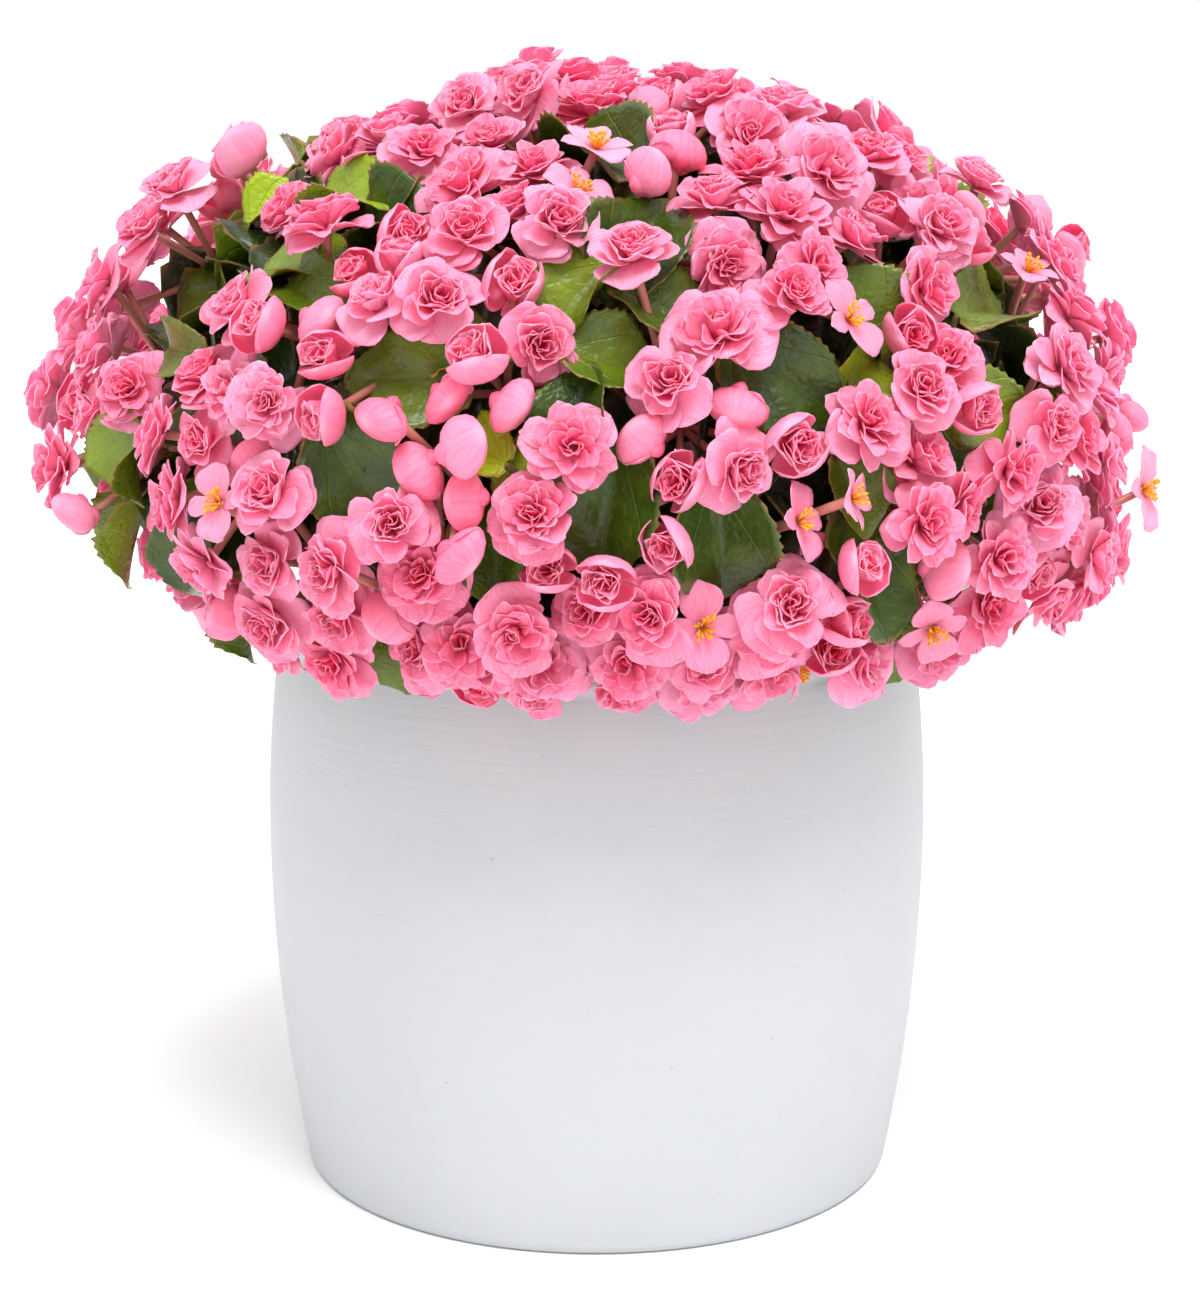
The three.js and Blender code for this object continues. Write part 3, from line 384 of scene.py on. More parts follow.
def best_pose(leaf, bars, blooms):
    """The pose whose blade lies least inside what is already there."""
    starts, ends, radii = bars.arrays()
    reach = leaf.length * 1.1
    runs = ends - starts
    lengths = np.maximum((runs * runs).sum(axis=1), 1e-12)
    share = np.clip(((leaf.point - starts) * runs).sum(axis=1) / lengths, 0, 1)
    near = np.linalg.norm(starts + runs * share[:, None] - leaf.point, axis=1) < reach + radii
    starts, runs, radii, lengths = starts[near], runs[near], radii[near], lengths[near]
    heads = [bloom for bloom in blooms if np.linalg.norm(bloom.point - leaf.point) < reach + bloom.radius]
    middles = np.array([bloom.point for bloom in heads]).reshape(-1, 3)
    axes = np.array([bloom.axis for bloom in heads]).reshape(-1, 3)
    sizes = np.array([bloom.radius for bloom in heads])
    samples = blade_samples(leaf.wave) * leaf.length
    poses = leaf_poses(leaf)
    totals = []
    for k, (axis, ahead, base) in enumerate(poses):
        across = np.cross(ahead, axis)
        points = base + samples[:, :1] * across + samples[:, 1:2] * ahead + samples[:, 2:] * axis
        in_pot = (points[:, 2] < POT_HEIGHT + 2) & (np.hypot(points[:, 0], points[:, 1]) < BELLY_RADIUS + 1)
        offset = points[:, None, :] - starts[None]
        share = np.clip((offset * runs).sum(axis=2) / lengths, 0, 1)
        gap = np.linalg.norm(offset - runs * share[:, :, None], axis=2)
        in_bars = np.maximum(radii + BLADE_CLEARANCE - gap, 0).sum()
        offset = points[:, None, :] - middles[None]
        height = (offset * axes).sum(axis=2)
        spread = np.sqrt(np.maximum((offset * offset).sum(axis=2) - height * height, 0))
        under = height + 0.42 * sizes * np.maximum(1 - spread / sizes, 0) + 2
        depth = np.minimum(np.minimum(sizes + BLADE_CLEARANCE - spread, under), 0.6 * sizes - height)
        totals.append(8 * in_pot.sum() + in_bars + np.maximum(depth, 0).sum() + k * 0.02)
    return poses[int(np.argmin(totals))]


def lay_out():
    """Stems, bunches of blooms and leaves, each with its place and the spot where it joins its stem."""
    bunches = FRONT_BUNCHES + back_bunches()
    items = place_items(bunches)
    space_out(items)
    stems = stem_plan()
    bars = Bars()
    for stem, curve in enumerate(stems):
        for k in range(STEM_STEPS):
            bars.add(f"stem{stem}", on_curve(curve, k / STEM_STEPS), on_curve(curve, (k + 1) / STEM_STEPS),
                     STEM_RADIUS)
    blooms = [item for item in items if item.kind != "L"]
    leaves = [item for item in items if item.kind == "L"]
    plans = []
    for bunch, clusters in enumerate(bunches):
        plan = SimpleNamespace(number=bunch + 1, hubs=[],
                               blooms=[bloom for bloom in blooms if bloom.bunch == bunch])
        for cluster in range(len(clusters)):
            own = [bloom for bloom in plan.blooms if bloom.cluster == cluster]
            middle = sum(bloom.point for bloom in own) / len(own)
            hub = middle - facing(middle) * HUB_DEPTH
            for bloom in own:
                outward = unit(bloom.point - hub)
                side, top = frame_across(outward)
                bloom.axis = unit(facing(bloom.point) * BLOOM_FACING + outward
                                  + side * bloom.tilt[0] * BLOOM_TILT + top * bloom.tilt[1] * BLOOM_TILT)
                bloom.hub = hub
                bars.add(f"bunch{bunch + 1}", bloom.point, hub, BLOOM_STALK)
                bars.add(f"bunch{bunch + 1}", bloom.point, bloom.point + bloom.axis * 2, bloom.radius * 0.55)
            plan.hubs.append(hub)
        plans.append(plan)
    for plan in plans:
        owner = f"bunch{plan.number}"
        _, plan.foot = attach(plan.hubs[0], stems, BUNCH_STALK, owner, bars)
        bars.add(owner, plan.hubs[0], plan.foot, BUNCH_STALK)
        if len(plan.hubs) > 1:
            bars.add(owner, plan.hubs[0], plan.hubs[1], BUNCH_STALK)
    for k, leaf in enumerate(leaves):
        leaf.axis, leaf.ahead, leaf.base = best_pose(leaf, bars, blooms)
        leaf.stem, leaf.foot = attach(leaf.base, stems, LEAF_STALK, f"leaf{k}", bars)
        owner, tip = f"stem{leaf.stem}", leaf.base + leaf.ahead * leaf.length
        across = np.cross(leaf.ahead, leaf.axis) * leaf.length * 0.35
        centre = (leaf.base + tip) / 2
        bars.add(owner, leaf.base, leaf.foot, LEAF_STALK)
        bars.add(owner, leaf.base, tip, LEAF_STALK)
        bars.add(owner, centre + across, centre - across, LEAF_STALK)
    return stems, plans, leaves


# ---- modelling helpers
MILLIMETRE = 0.001


def turned(degrees, axis):
    return Matrix.Rotation(radians(degrees), 4, axis)


def mode(name):
    bpy.ops.object.mode_set(mode=name)


def only(piece):
    """Selects one piece and nothing else."""
    bpy.ops.object.select_all(action="DESELECT")
    piece.select_set(True)
    bpy.context.view_layer.objects.active = piece


def added(name):
    """The primitive that was just added, named, with its place taken into its mesh."""
    piece = bpy.context.object
    piece.name = piece.data.name = name
    bpy.ops.object.transform_apply(location=True, rotation=True, scale=True)
    return piece


def pick(piece, chosen):
    """Edit mode, with the vertices selected whose number and place chosen() says yes to."""
    only(piece)
    mode("EDIT")
    bpy.ops.mesh.select_mode(type="VERT")
    bpy.ops.mesh.select_all(action="DESELECT")
    mode("OBJECT")
    for vertex in piece.data.vertices:
        vertex.select = bool(chosen(vertex.index, vertex.co))
    mode("EDIT")


def picked(piece, chosen, move=(0, 0, 0), resize=(1, 1, 1), about=(0, 0, 0)):
    """Resizes the chosen vertices about a point, then moves them."""
    pick(piece, chosen)
    bpy.ops.transform.resize(value=resize, center_override=about)
    bpy.ops.transform.translate(value=move)
    mode("OBJECT")


def drawn_up(piece, steps):
    """Draws a disc up, one step after another: how far each rises, how much it widens, and at what height."""
    pick(piece, lambda *_: True)
    for rise, widened, height in steps:
        bpy.ops.mesh.extrude_region_move(TRANSFORM_OT_translate={"value": (0, 0, rise)})
        bpy.ops.transform.resize(value=(widened, widened, 1), center_override=(0, 0, height))
    bpy.ops.mesh.select_all(action="SELECT")
    bpy.ops.mesh.normals_make_consistent(inside=False)
    mode("OBJECT")


def applied(piece, kind, **settings):
    """A modifier with these settings, applied at once."""
    only(piece)
    modifier = piece.modifiers.new(kind.lower(), kind)
    for name, value in settings.items():
        setattr(modifier, name, value)
    bpy.ops.object.modifier_apply(modifier=modifier.name)


def crinkled(piece, strength, size, seed, weight):
    """Ruffles a sheet, most where weight() of a vertex's place is greatest."""
    group = piece.vertex_groups.new(name="ruffle")
    for vertex in piece.data.vertices:
        group.add([vertex.index], weight(vertex.co), "REPLACE")
    clouds = bpy.data.textures.new(piece.name + "_clouds", "CLOUDS")
    clouds.noise_scale = size
    clouds.noise_depth = 1
    away = Matrix.Translation((seed * 7.3, seed * 3.1, 0))
    piece.data.transform(away)
    applied(piece, "DISPLACE", texture=clouds, texture_coords="LOCAL", direction="NORMAL",
            strength=strength, mid_level=0.5, vertex_group="ruffle")
    piece.data.transform(away.inverted())
    piece.vertex_groups.clear()


def paint(piece, **values):
    """Writes the same number over the whole piece in each named attribute."""
    for name, value in values.items():
        attribute = piece.data.attributes.get(name) or piece.data.attributes.new(name, "FLOAT", "POINT")
        attribute.data.foreach_set("value", np.full(len(piece.data.vertices), value, dtype=np.float32))


def linked(name, data):
    thing = bpy.data.objects.new(name, data)
    bpy.context.scene.collection.objects.link(thing)
    return thing


def copy_of(master, matrix=Matrix.Identity(4)):
    """A copy with its own mesh, placed by a matrix."""
    piece = linked(master.name, master.data.copy())
    piece.data.transform(matrix)
    return piece


def joined(name, pieces):
    only(pieces[0])
    for piece in pieces:
        piece.select_set(True)
    if len(pieces) > 1:
        bpy.ops.object.join()
    pieces[0].name = pieces[0].data.name = name
    return pieces[0]


def vertices_of(piece):
    places = np.empty(len(piece.data.vertices) * 3, dtype=np.float32)
    piece.data.vertices.foreach_get("co", places)
    return places.reshape(-1, 3).astype(float)


def set_vertices(piece, places):
    piece.data.vertices.foreach_set("co", places.astype(np.float32).ravel())
    piece.data.update()


def finished(name, pieces, node, material):
    """Joins a piece, takes it to metres, keeps it in the solids' box and puts it on the object."""
    piece = joined(name, pieces)
    piece.data.transform(Matrix.Scale(MILLIMETRE, 4))
    set_vertices(piece, np.clip(vertices_of(piece), *CAD_BOX))
    piece.data.shade_smooth()
    piece.data.materials.append(material)
    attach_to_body(piece, "root")
    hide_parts(node)


# ---- petals
# Rows of a petal from base to tip, as shares of its length: how far along, half width, rise at the middle,
# rise at the edge, and how far the edge is drawn back.
GUARD_ROWS = [(0, 0.1, 0, 0.02, 0), (0.18, 0.35, 0.03, 0.09, 0), (0.4, 0.53, 0.05, 0.16, 0),
              (0.62, 0.58, 0.05, 0.17, 0), (0.8, 0.53, 0.02, 0.14, 0.02), (0.92, 0.42, -0.02, 0.08, 0.05),
              (0.985, 0.27, -0.06, 0.01, 0.06), (1, 0.1, -0.08, -0.06, 0.02)]
FRILL_ROWS = [(0, 0.09, 0, 0.03, 0), (0.25, 0.27, 0.02, 0.11, 0), (0.54, 0.41, 0.03, 0.17, 0),
              (0.78, 0.42, 0.01, 0.15, 0.01), (0.93, 0.32, -0.04, 0.09, 0.04), (1, 0.15, -0.08, 0, 0.04)]
HEART_ROWS = [(0, 0.12, 0, 0.08, 0), (0.3, 0.32, 0.03, 0.25, 0), (0.6, 0.44, 0.04, 0.33, 0),
              (0.85, 0.41, 0.01, 0.27, 0.02), (1, 0.22, -0.04, 0.12, 0.07)]
CUP_ROWS = [(0, 0.16, 0, 0.1, 0), (0.25, 0.42, -0.06, 0.27, 0), (0.54, 0.56, -0.1, 0.38, 0),
            (0.82, 0.52, -0.12, 0.32, 0.03), (1, 0.26, -0.2, 0.08, 0.1)]
SPIKE_ROWS = [(0, 0.07, 0, 0.03, 0), (0.35, 0.2, 0.04, 0.1, 0), (0.68, 0.25, 0.04, 0.1, 0),
              (0.9, 0.17, 0, 0.05, 0.02), (1, 0.06, -0.03, 0, 0.03)]
RUFFLE_SIZE, PETAL_THICKNESS = 0.3, 0.02


def petal(name, rows, columns, crinkle, seed):
    """A petal of length 1 along +Y from the origin, its inner face up."""
    last = len(rows) - 1
    bpy.ops.mesh.primitive_grid_add(x_subdivisions=columns, y_subdivisions=last, size=1, location=(0, 0.5, 0))
    piece = added(name)
    across = columns + 1
    for row, (along, half, middle_rise, edge_rise, drawn) in enumerate(rows):
        picked(piece, lambda number, _: number // across == row, resize=(2 * half, 1, 1),
               about=(0, row / last, 0), move=(0, along - row / last, 0))
        for column in range(columns // 2 + 1):
            out = 1 - 2 * column / columns
            same = (row * across + column, row * across + columns - column)
            rise = middle_rise + (edge_rise - middle_rise) * out ** 2
            picked(piece, lambda number, _: number in same, move=(0, -drawn * out ** 2, rise))
    crinkled(piece, crinkle, RUFFLE_SIZE, seed, lambda place: max(0.0, min(1.0, place.y)) ** 1.3)
    applied(piece, "SOLIDIFY", thickness=PETAL_THICKNESS, offset=0)
    return piece


def petal_set(name, rows, columns, crinkle, count):
    return [petal(f"{name}_{k + 1}", rows, columns, crinkle, k + 1) for k in range(count)]


def kidney(name):
    """A closed bud of two round shells, with a notch where its stalk joins."""
    bpy.ops.mesh.primitive_uv_sphere_add(segments=16, ring_count=9, radius=1)
    piece = added(name)
    picked(piece, lambda _, place: abs(place.y) < 0.02, resize=(1.03, 1, 1.03))
    picked(piece, lambda *_: True, resize=(0.92, 0.52, 0.74))
    for deep, wide in ((0.34, 0.42), (0.18, 0.75)):
        pick(piece, lambda _, place: place.z < -0.73 + (0.34 - deep))
        bpy.ops.transform.translate(value=(0, 0, deep), use_proportional_edit=True,
                                    proportional_size=wide, proportional_edit_falloff="SMOOTH")
        mode("OBJECT")
    return piece


def half_shell(name, whole):
    """One side of a closed bud, as a bowl with a wall and a ruffled rim."""
    piece = copy_of(whole)
    piece.name = name
    pick(piece, lambda _, place: place.y < -0.03)
    bpy.ops.mesh.delete(type="VERT")
    mode("OBJECT")
    crinkled(piece, 0.3, 0.45, 2, lambda place: max(0.0, 1 - place.y / 0.35) * max(0.0, place.z + 0.5))
    applied(piece, "SOLIDIFY", thickness=0.03, offset=-1)
    return piece


GUARDS = petal_set("guard_petal", GUARD_ROWS, 8, 0.2, 4)
FRILLS = petal_set("frilled_petal", FRILL_ROWS, 4, 0.3, 5)
HEARTS = petal_set("heart_petal", HEART_ROWS, 4, 0.32, 5)
CUPS = petal_set("cup_petal", CUP_ROWS, 6, 0.22, 4)
SPIKES = petal_set("narrow_petal", SPIKE_ROWS, 4, 0.12, 4)
CLOSED_BUD = kidney("closed_bud")
BUD_SHELL = half_shell("bud_shell", CLOSED_BUD)

# ---- blooms
# Rings of petals from the outermost in: which petals, how many, their length and width, their lean from flat
# open, 0, to upright, 90, how far out and how high they stand, how deep their colour is as painted shade
# towards the bloom's hollow, how uneven they are.
GUARD_RINGS = [
    (GUARDS, 2, 1.06, 1.26, 2, 0.02, -0.26, 0.0, 1.8), (GUARDS, 2, 0.93, 1.15, 16, 0.03, -0.22, 0.06, 1.8)]
RUFFLED_RINGS = [
    (FRILLS, 6, 0.9, 1.0, 24, 0.05, -0.2, 0.12, 2.6), (FRILLS, 6, 0.8, 0.95, 42, 0.08, -0.16, 0.3, 2.8),
    (FRILLS, 6, 0.68, 0.95, 58, 0.12, -0.12, 0.45, 2.8), (HEARTS, 5, 0.52, 0.95, 72, 0.16, -0.08, 0.65, 3.0),
    (HEARTS, 4, 0.44, 0.9, 82, 0.08, -0.04, 0.85, 3.0)]
WRAPPED_RINGS = [
    (FRILLS, 4, 0.84, 1.05, 34, 0.06, -0.2, 0.2, 2.4), (CUPS, 3, 0.74, 1.0, 56, 0.1, -0.2, 0.25, 1.2),
    (CUPS, 4, 0.62, 0.9, 68, 0.15, -0.15, 0.42, 1.4), (HEARTS, 5, 0.54, 0.95, 74, 0.2, -0.1, 0.62, 2.4),
    (HEARTS, 5, 0.47, 0.9, 82, 0.11, -0.06, 0.85, 3.0)]
OPEN_RINGS = [
    (GUARDS, 3, 1.0, 0.95, 2, 0.03, -0.24, 0.0, 1.6), (SPIKES, 6, 1.02, 1.25, 12, 0.05, -0.18, 0.04, 2.2),
    (SPIKES, 6, 0.9, 1.3, 30, 0.07, -0.14, 0.18, 2.2), (FRILLS, 6, 0.74, 0.85, 44, 0.08, -0.1, 0.34, 2.0),
    (FRILLS, 5, 0.6, 0.85, 62, 0.1, -0.05, 0.55, 2.0), (HEARTS, 4, 0.5, 0.85, 78, 0.1, -0.03, 0.85, 2.2)]
HALF_OPEN_RINGS = [
    (CUPS, 4, 1.05, 0.85, 70, 0.12, -0.45, 0.3, 1.4), (HEARTS, 6, 0.98, 0.8, 76, 0.2, -0.38, 0.5, 2.4),
    (HEARTS, 5, 0.92, 0.8, 83, 0.1, -0.35, 0.8, 2.8)]
CLOSED_BUD_RINGS = [(GUARDS, 1, 1.0, 1.0, 30, 0.05, -0.5, 0.1, 1.0)]
TURN_LOOSE, HEIGHT_LOOSE, LEAN_LOOSE, ROLL_LOOSE = 0.35, 0.03, 14, 26
BUD_HINGE, BUD_VEINED, STAMENS, THREAD, ANTHER_HEIGHT = 0.45, 0.45, 15, 0.34, 0.36


def ring_of(draw, petals, count, length, width, lean, out, height, heart, uneven=1.0):
    """Copies of some petals round the flower's axis."""
    copies = []
    start = draw() * 360
    for k in range(count):
        master = petals[int(draw() * len(petals))]
        angle = start + 360 * (k + TURN_LOOSE * (draw() - 0.5)) / count
        tip_up = lean + uneven * LEAN_LOOSE * (draw() - 0.5)
        roll = uneven * ROLL_LOOSE * (draw() - 0.5)
        size = length * (0.9 + 0.2 * draw())
        place = Matrix.Translation((0, out, height + HEIGHT_LOOSE * (draw() - 0.5)))
        copies.append(copy_of(master, turned(angle, "Z") @ place @ turned(tip_up, "X") @ turned(roll, "Y")
                              @ Matrix.Diagonal((size * width, size, size, 1))))
        # heart deepens the colour of the inner rings, towards the bloom's hollow: painted shade.
        paint(copies[-1], petal_tone=draw(), heart=heart, veined=1)
    return copies


def rings_of(draw, rows):
    return [petal_copy for row in rows for petal_copy in ring_of(draw, *row)]


def rosette(name, seed):
    """A full double bloom: wide guard petals behind ruffled ones, or a wrapped cup, round a folded heart."""
    return joined(name, rings_of(seeded(seed), GUARD_RINGS + (RUFFLED_RINGS if seed % 2 else WRAPPED_RINGS)))


def open_double(name, seed):
    """A looser double bloom with many narrow petals, like a small carnation."""
    return joined(name, rings_of(seeded(seed), OPEN_RINGS))


def bud_part(draw, master, size, turn, lean, place, heart):
    """A shell or a closed bud, turned about the bud's axis, opened outwards about its hinge and moved."""
    hinge = Matrix.Translation((0, 0, BUD_HINGE))
    piece = copy_of(master, turned(turn, "Z") @ Matrix.Translation(place) @ hinge.inverted()
                    @ turned(-lean, "X") @ hinge @ Matrix.Scale(size, 4))
    # heart deepens the colour of a bud part: painted shade.
    paint(piece, petal_tone=draw(), heart=heart, veined=BUD_VEINED)
    return piece


def bud(name, seed):
    """A fat closed bud, or one that opens between two round shells like a little clam."""
    draw = seeded(seed)
    if seed % 2:
        opening = 24 + 22 * draw()
        shells = [bud_part(draw, BUD_SHELL, 1.0, turn, opening, (0, 0, 0), 0.2) for turn in (0, 180)]
        return joined(name, shells + rings_of(draw, HALF_OPEN_RINGS))
    pair = [bud_part(draw, CLOSED_BUD, 1.0, 0, 0, (0, 0, 0), 0.35),
            bud_part(draw, CLOSED_BUD, 0.62, 70, 38, (0, -0.46, -0.2), 0.55)]
    return joined(name, pair + rings_of(draw, CLOSED_BUD_RINGS))


def single(name, seed):
    """A single bloom: two round petals and two narrow ones, crosswise."""
    draw = seeded(seed)
    petals = []
    for k, (kind, length, width) in enumerate([(GUARDS, 0.98, 0.95), (SPIKES, 0.86, 1.3)] * 2):
        petals += ring_of(lambda: 0.5, [kind[k % len(kind)]], 1, length, width, 12, 0.05, -0.12, 0.0)
        petals[-1].data.transform(turned(90 * k + 16 * (draw() - 0.5), "Z"))
        petals[-1].data.transform(Matrix.Rotation(0.2 * (draw() - 0.5), 4, "X"))
    return joined(name, petals)


def stamen_tuft(name, seed):
    """Short yellow threads with a small swollen head each."""
    draw = seeded(seed)
    bpy.ops.mesh.primitive_cylinder_add(vertices=5, radius=0.02, depth=THREAD, location=(0, 0, THREAD / 2))
    thread = added(name)
    picked(thread, lambda _, place: place.z > 0.3, resize=(1.5, 1.5, 1), about=(0, 0, THREAD))
    bpy.ops.mesh.primitive_ico_sphere_add(subdivisions=1, radius=0.055, location=(0, 0, ANTHER_HEIGHT))
    head = added("anther")
    picked(head, lambda *_: True, resize=(0.8, 0.8, 1.3), about=(0, 0, ANTHER_HEIGHT))
    master = joined(name, [thread, head])
    threads = []
    for k in range(STAMENS):
        lean = 8 + 38 * draw()
        size = 0.75 + 0.5 * draw()
        threads.append(copy_of(master, turned(360 * k / STAMENS + 30 * draw(), "Z")
                               @ Matrix.Translation((0, 0.05, -0.08)) @ turned(-lean, "X")
                               @ Matrix.Scale(size, 4)))
    bpy.data.objects.remove(master)
    return joined(name, threads)


BLOOMS = {
    "R": [rosette(f"rosette_{k + 1}", 11 + 5 * k) for k in range(6)],
    "C": [open_double(f"open_double_{k + 1}", 31 + 5 * k) for k in range(4)],
    "B": [bud(f"bud_{k + 1}", 50 + k) for k in range(4)],
    "S": [single(f"single_{k + 1}", 71 + k) for k in range(2)],
}
TUFTS = [stamen_tuft(f"tuft_{k + 1}", 91 + k) for k in range(2)]


# ---- stalks and stems
def round_rod(name, sides, rings):
    """A rod of radius 1 and length 1 along +Z, in rings, closed at both ends."""
    bpy.ops.mesh.primitive_circle_add(vertices=sides, radius=1, fill_type="NGON")
    piece = added(name)
    drawn_up(piece, [(1 / rings, 1, 0)] * rings)
    return piece


def along_run(rod, points, radii):
    """A copy of a rod, bent along a smooth run of three points and given a radius at each end."""
    start, middle, end = points
    piece = copy_of(rod)
    places = vertices_of(piece)
    share = places[:, 2:3]
    run = 2 * (1 - share) * (middle - start) + 2 * share * (end - middle)
    run /= np.linalg.norm(run, axis=1)[:, None]
    side, _ = frame_across(unit(end - start))
    side = side - run * (run @ side)[:, None]
    side /= np.linalg.norm(side, axis=1)[:, None]
    top = np.cross(run, side)
    radius = radii[0] + (radii[1] - radii[0]) * share
    around_it = side * places[:, :1] * radius + top * places[:, 1:2] * radius
    set_vertices(piece, on_curve(points, share) + around_it)
    return piece


ROD = round_rod("rod", 6, 5)
STEM_ROD = round_rod("stem_rod", 9, 14)

# ---- leaves
LEAF_OUTLINE = [(0, 0.10), (0.04, 0.24), (0.14, 0.345), (0.3, 0.425), (0.5, 0.445), (0.65, 0.405),
                (0.82, 0.27), (0.92, 0.155), (1, 0.02)]
LOBE_DEPTH, TOOTH, LEAF_THICKNESS = 0.1, 0.014, 0.016
LEAF_FOLD, LOPSIDED, VEIN_ANGLE, VEIN_RIDGE = 2.9, 0.1, 0.46, 0.011
# Waves over a leaf: height, how many along it, how far each leaf and then each half is out of step, and how
# much the wave keeps to the edge.
EDGE_WAVES = [(0.045, 8, 3, 1.5, 2), (0.014, 21, 5, 2, 3)]


def half_width(along):
    return np.interp(along, *zip(*LEAF_OUTLINE))


def flat_leaf(name, columns, rows):
    """A toothed leaf of length 1 along +Y, lying flat, with its stalk end at the origin."""
    bpy.ops.mesh.primitive_grid_add(x_subdivisions=columns, y_subdivisions=rows, size=1, location=(0, 0.5, 0))
    piece = added(name)
    across = columns + 1
    for row in range(rows + 1):
        picked(piece, lambda number, _: number // across == row, about=(0, row / rows, 0),
               resize=(2 * half_width(row / rows), 1, 1))
    places = vertices_of(piece)
    number = np.arange(len(places))
    edge = (number % across == 0) | (number % across == columns)
    tooth = np.where(number // across % 2 == 1, TOOTH, -TOOTH) * edge
    out = np.abs(places[:, 0]) / half_width(places[:, 1])
    places[:, 0] += np.sign(places[:, 0]) * tooth
    places[:, 1] += np.abs(tooth) * 0.6 - LOBE_DEPTH * out ** 2 * np.clip(1 - places[:, 1] / 0.3, 0, 1)
    set_vertices(piece, places)
    for loop, target in zip(piece.data.loops, piece.data.uv_layers.active.data):
        place = places[loop.vertex_index]
        target.uv = (place[0] + 0.5, place[1])
    applied(piece, "SOLIDIFY", thickness=LEAF_THICKNESS, offset=-1)
    return piece


def grown_leaf(leaf):
    """A copy of a flat leaf, cupped and waved as this leaf is, and set in its place."""
    piece = copy_of(leaf.master)
    x, y, z = vertices_of(piece).T
    ahead = np.clip(y, 0, 1)
    half = half_width(ahead)
    out = np.clip(np.abs(x) / half, 0, 1.2)
    sign = np.sign(x)
    cup = LEAF_FOLD * (BLADE_CUP + BLADE_CUP_WAVE * sin(leaf.wave)) / WIDEST_HALF ** 2
    sways = [height * cos(leaf.wave + number) for number, (_, _, height) in enumerate(BLADE_ROWS)]
    sway = np.interp(ahead, [0, *[row[0] for row in BLADE_ROWS], 1], [0, *sways, 0]) * -sign
    rib = -BLADE_DROOP * ahead ** 2 - 0.03 * ahead ** 6
    rise = rib + cup * half ** 2 * out ** 1.25 + sway * out ** 2
    sector = np.arctan2(x, y + 0.02) / VEIN_ANGLE
    rise -= VEIN_RIDGE * np.cos(2 * pi * sector) * np.clip(3 * np.hypot(x, y), 0, 1) * (1.1 - out)
    for height, count, own, apart, power in EDGE_WAVES:
        rise += height * np.sin(count * ahead + own * leaf.wave + apart * sign) * out ** power
    rise += 0.006 * np.sin(34 * ahead + 9 * x) * (1 - out) * out
    lopsided = LOPSIDED * np.sign(sin(3 * leaf.wave))
    wide = x * (1 + lopsided * sign) * (1 - 0.1 * out ** 2)
    local = np.column_stack([wide, y, rise + z]) * leaf.length
    across = np.cross(leaf.ahead, leaf.axis)
    set_vertices(piece, leaf.base + local @ np.array([across, leaf.ahead, leaf.axis]))
    paint(piece, leaf_tone=leaf.tone)
    return piece


LEAF_MASTER = flat_leaf("leaf", 14, 26)
INNER_LEAF_MASTER = flat_leaf("inner_leaf", 4, 10)

# ---- materials
PETAL_PALE, PETAL_DEEP = (1.0, 0.41, 0.60), (0.93, 0.022, 0.115)
# PETAL_GLOW tints a faint glow given off by the petals: painted light.
PETAL_EDGE, PETAL_GLOW = (1.0, 0.58, 0.72), (1.0, 0.25, 0.4)
# How much each painted number deepens a petal's colour, heart as painted shade towards each bloom's hollow,
# then colours of a leaf by its tone.
PETAL_DEPTHS = {"heart": 0.5, "bloom_tone": 0.28, "petal_tone": 0.12}
LEAF_COLOURS = [(0.3, (0.040, 0.080, 0.004)), (0.55, (0.125, 0.185, 0.008)), (0.78, (0.24, 0.33, 0.012))]
LEAF_DARKEST, LEAF_BRIGHTEST, LEAF_EDGE = (0.012, 0.026, 0.002), (0.34, 0.46, 0.010), (0.30, 0.17, 0.05)
SLIP, SLIP_SHADE, SLIP_PIT = (0.572, 0.590, 0.612), (0.528, 0.546, 0.568), (0.35, 0.34, 0.33)


class Sheet:
    """The nodes of one material, group or world, with a short way to add and join each kind."""

    def __init__(self, tree):
        self.tree = tree

    def feed(self, made, values):
        """Joins each named input of a node to a socket, or sets it to a constant."""
        for name, value in values.items():
            if isinstance(value, bpy.types.NodeSocket):
                self.tree.links.new(value, made.inputs[name])
            else:
                made.inputs[name].default_value = value

    def add(self, kind, values=None, **settings):
        made = self.tree.nodes.new("ShaderNode" + kind)
        for name, value in settings.items():
            setattr(made, name, value)
        self.feed(made, values or {})
        return made

    def maths(self, operation, *values, clamp=False):
        return self.add("Math", dict(enumerate(values)), operation=operation, use_clamp=clamp).outputs[0]

    def times(self, a, b, clamp=False):
        return self.maths("MULTIPLY", a, b, clamp=clamp)

    def less(self, a, b, clamp=False):
        return self.maths("SUBTRACT", a, b, clamp=clamp)

    def upon(self, base, value, share):
        """base with a share of value added."""
        return self.maths("MULTIPLY_ADD", value, share, base)

    def length(self, a, b):
        return self.maths("SQRT", self.maths("ADD", self.times(a, a), self.times(b, b)))

    def mixed(self, factor, first, second, blend="MIX"):
        first, second = ((*colour, 1) if isinstance(colour, tuple) else colour for colour in (first, second))
        return self.add("Mix", data_type="RGBA", blend_type=blend, clamp_factor=True,
                        values={0: factor, 6: first, 7: second}).outputs[2]

    def attribute(self, name):
        return self.add("Attribute", attribute_name=name).outputs["Fac"]

    def place(self):
        return self.add("TexCoord").outputs["Object"]

    def across_and_along(self):
        """Where a point of a petal or leaf lies on its own UV map, and the map itself."""
        flat = self.add("UVMap").outputs[0]
        parts = self.add("SeparateXYZ", {0: flat}).outputs
        return self.less(parts[0], 0.5), parts[1], flat

    def noise(self, place, scale, detail):
        return self.add("TexNoise", {"Vector": place, "Scale": scale, "Detail": detail}).outputs["Fac"]

    def bump(self, height, strength, distance):
        return self.add("Bump", {"Height": height, "Strength": strength, "Distance": distance}).outputs[0]

    def group(self, tree):
        return self.add("Group", node_tree=tree).outputs


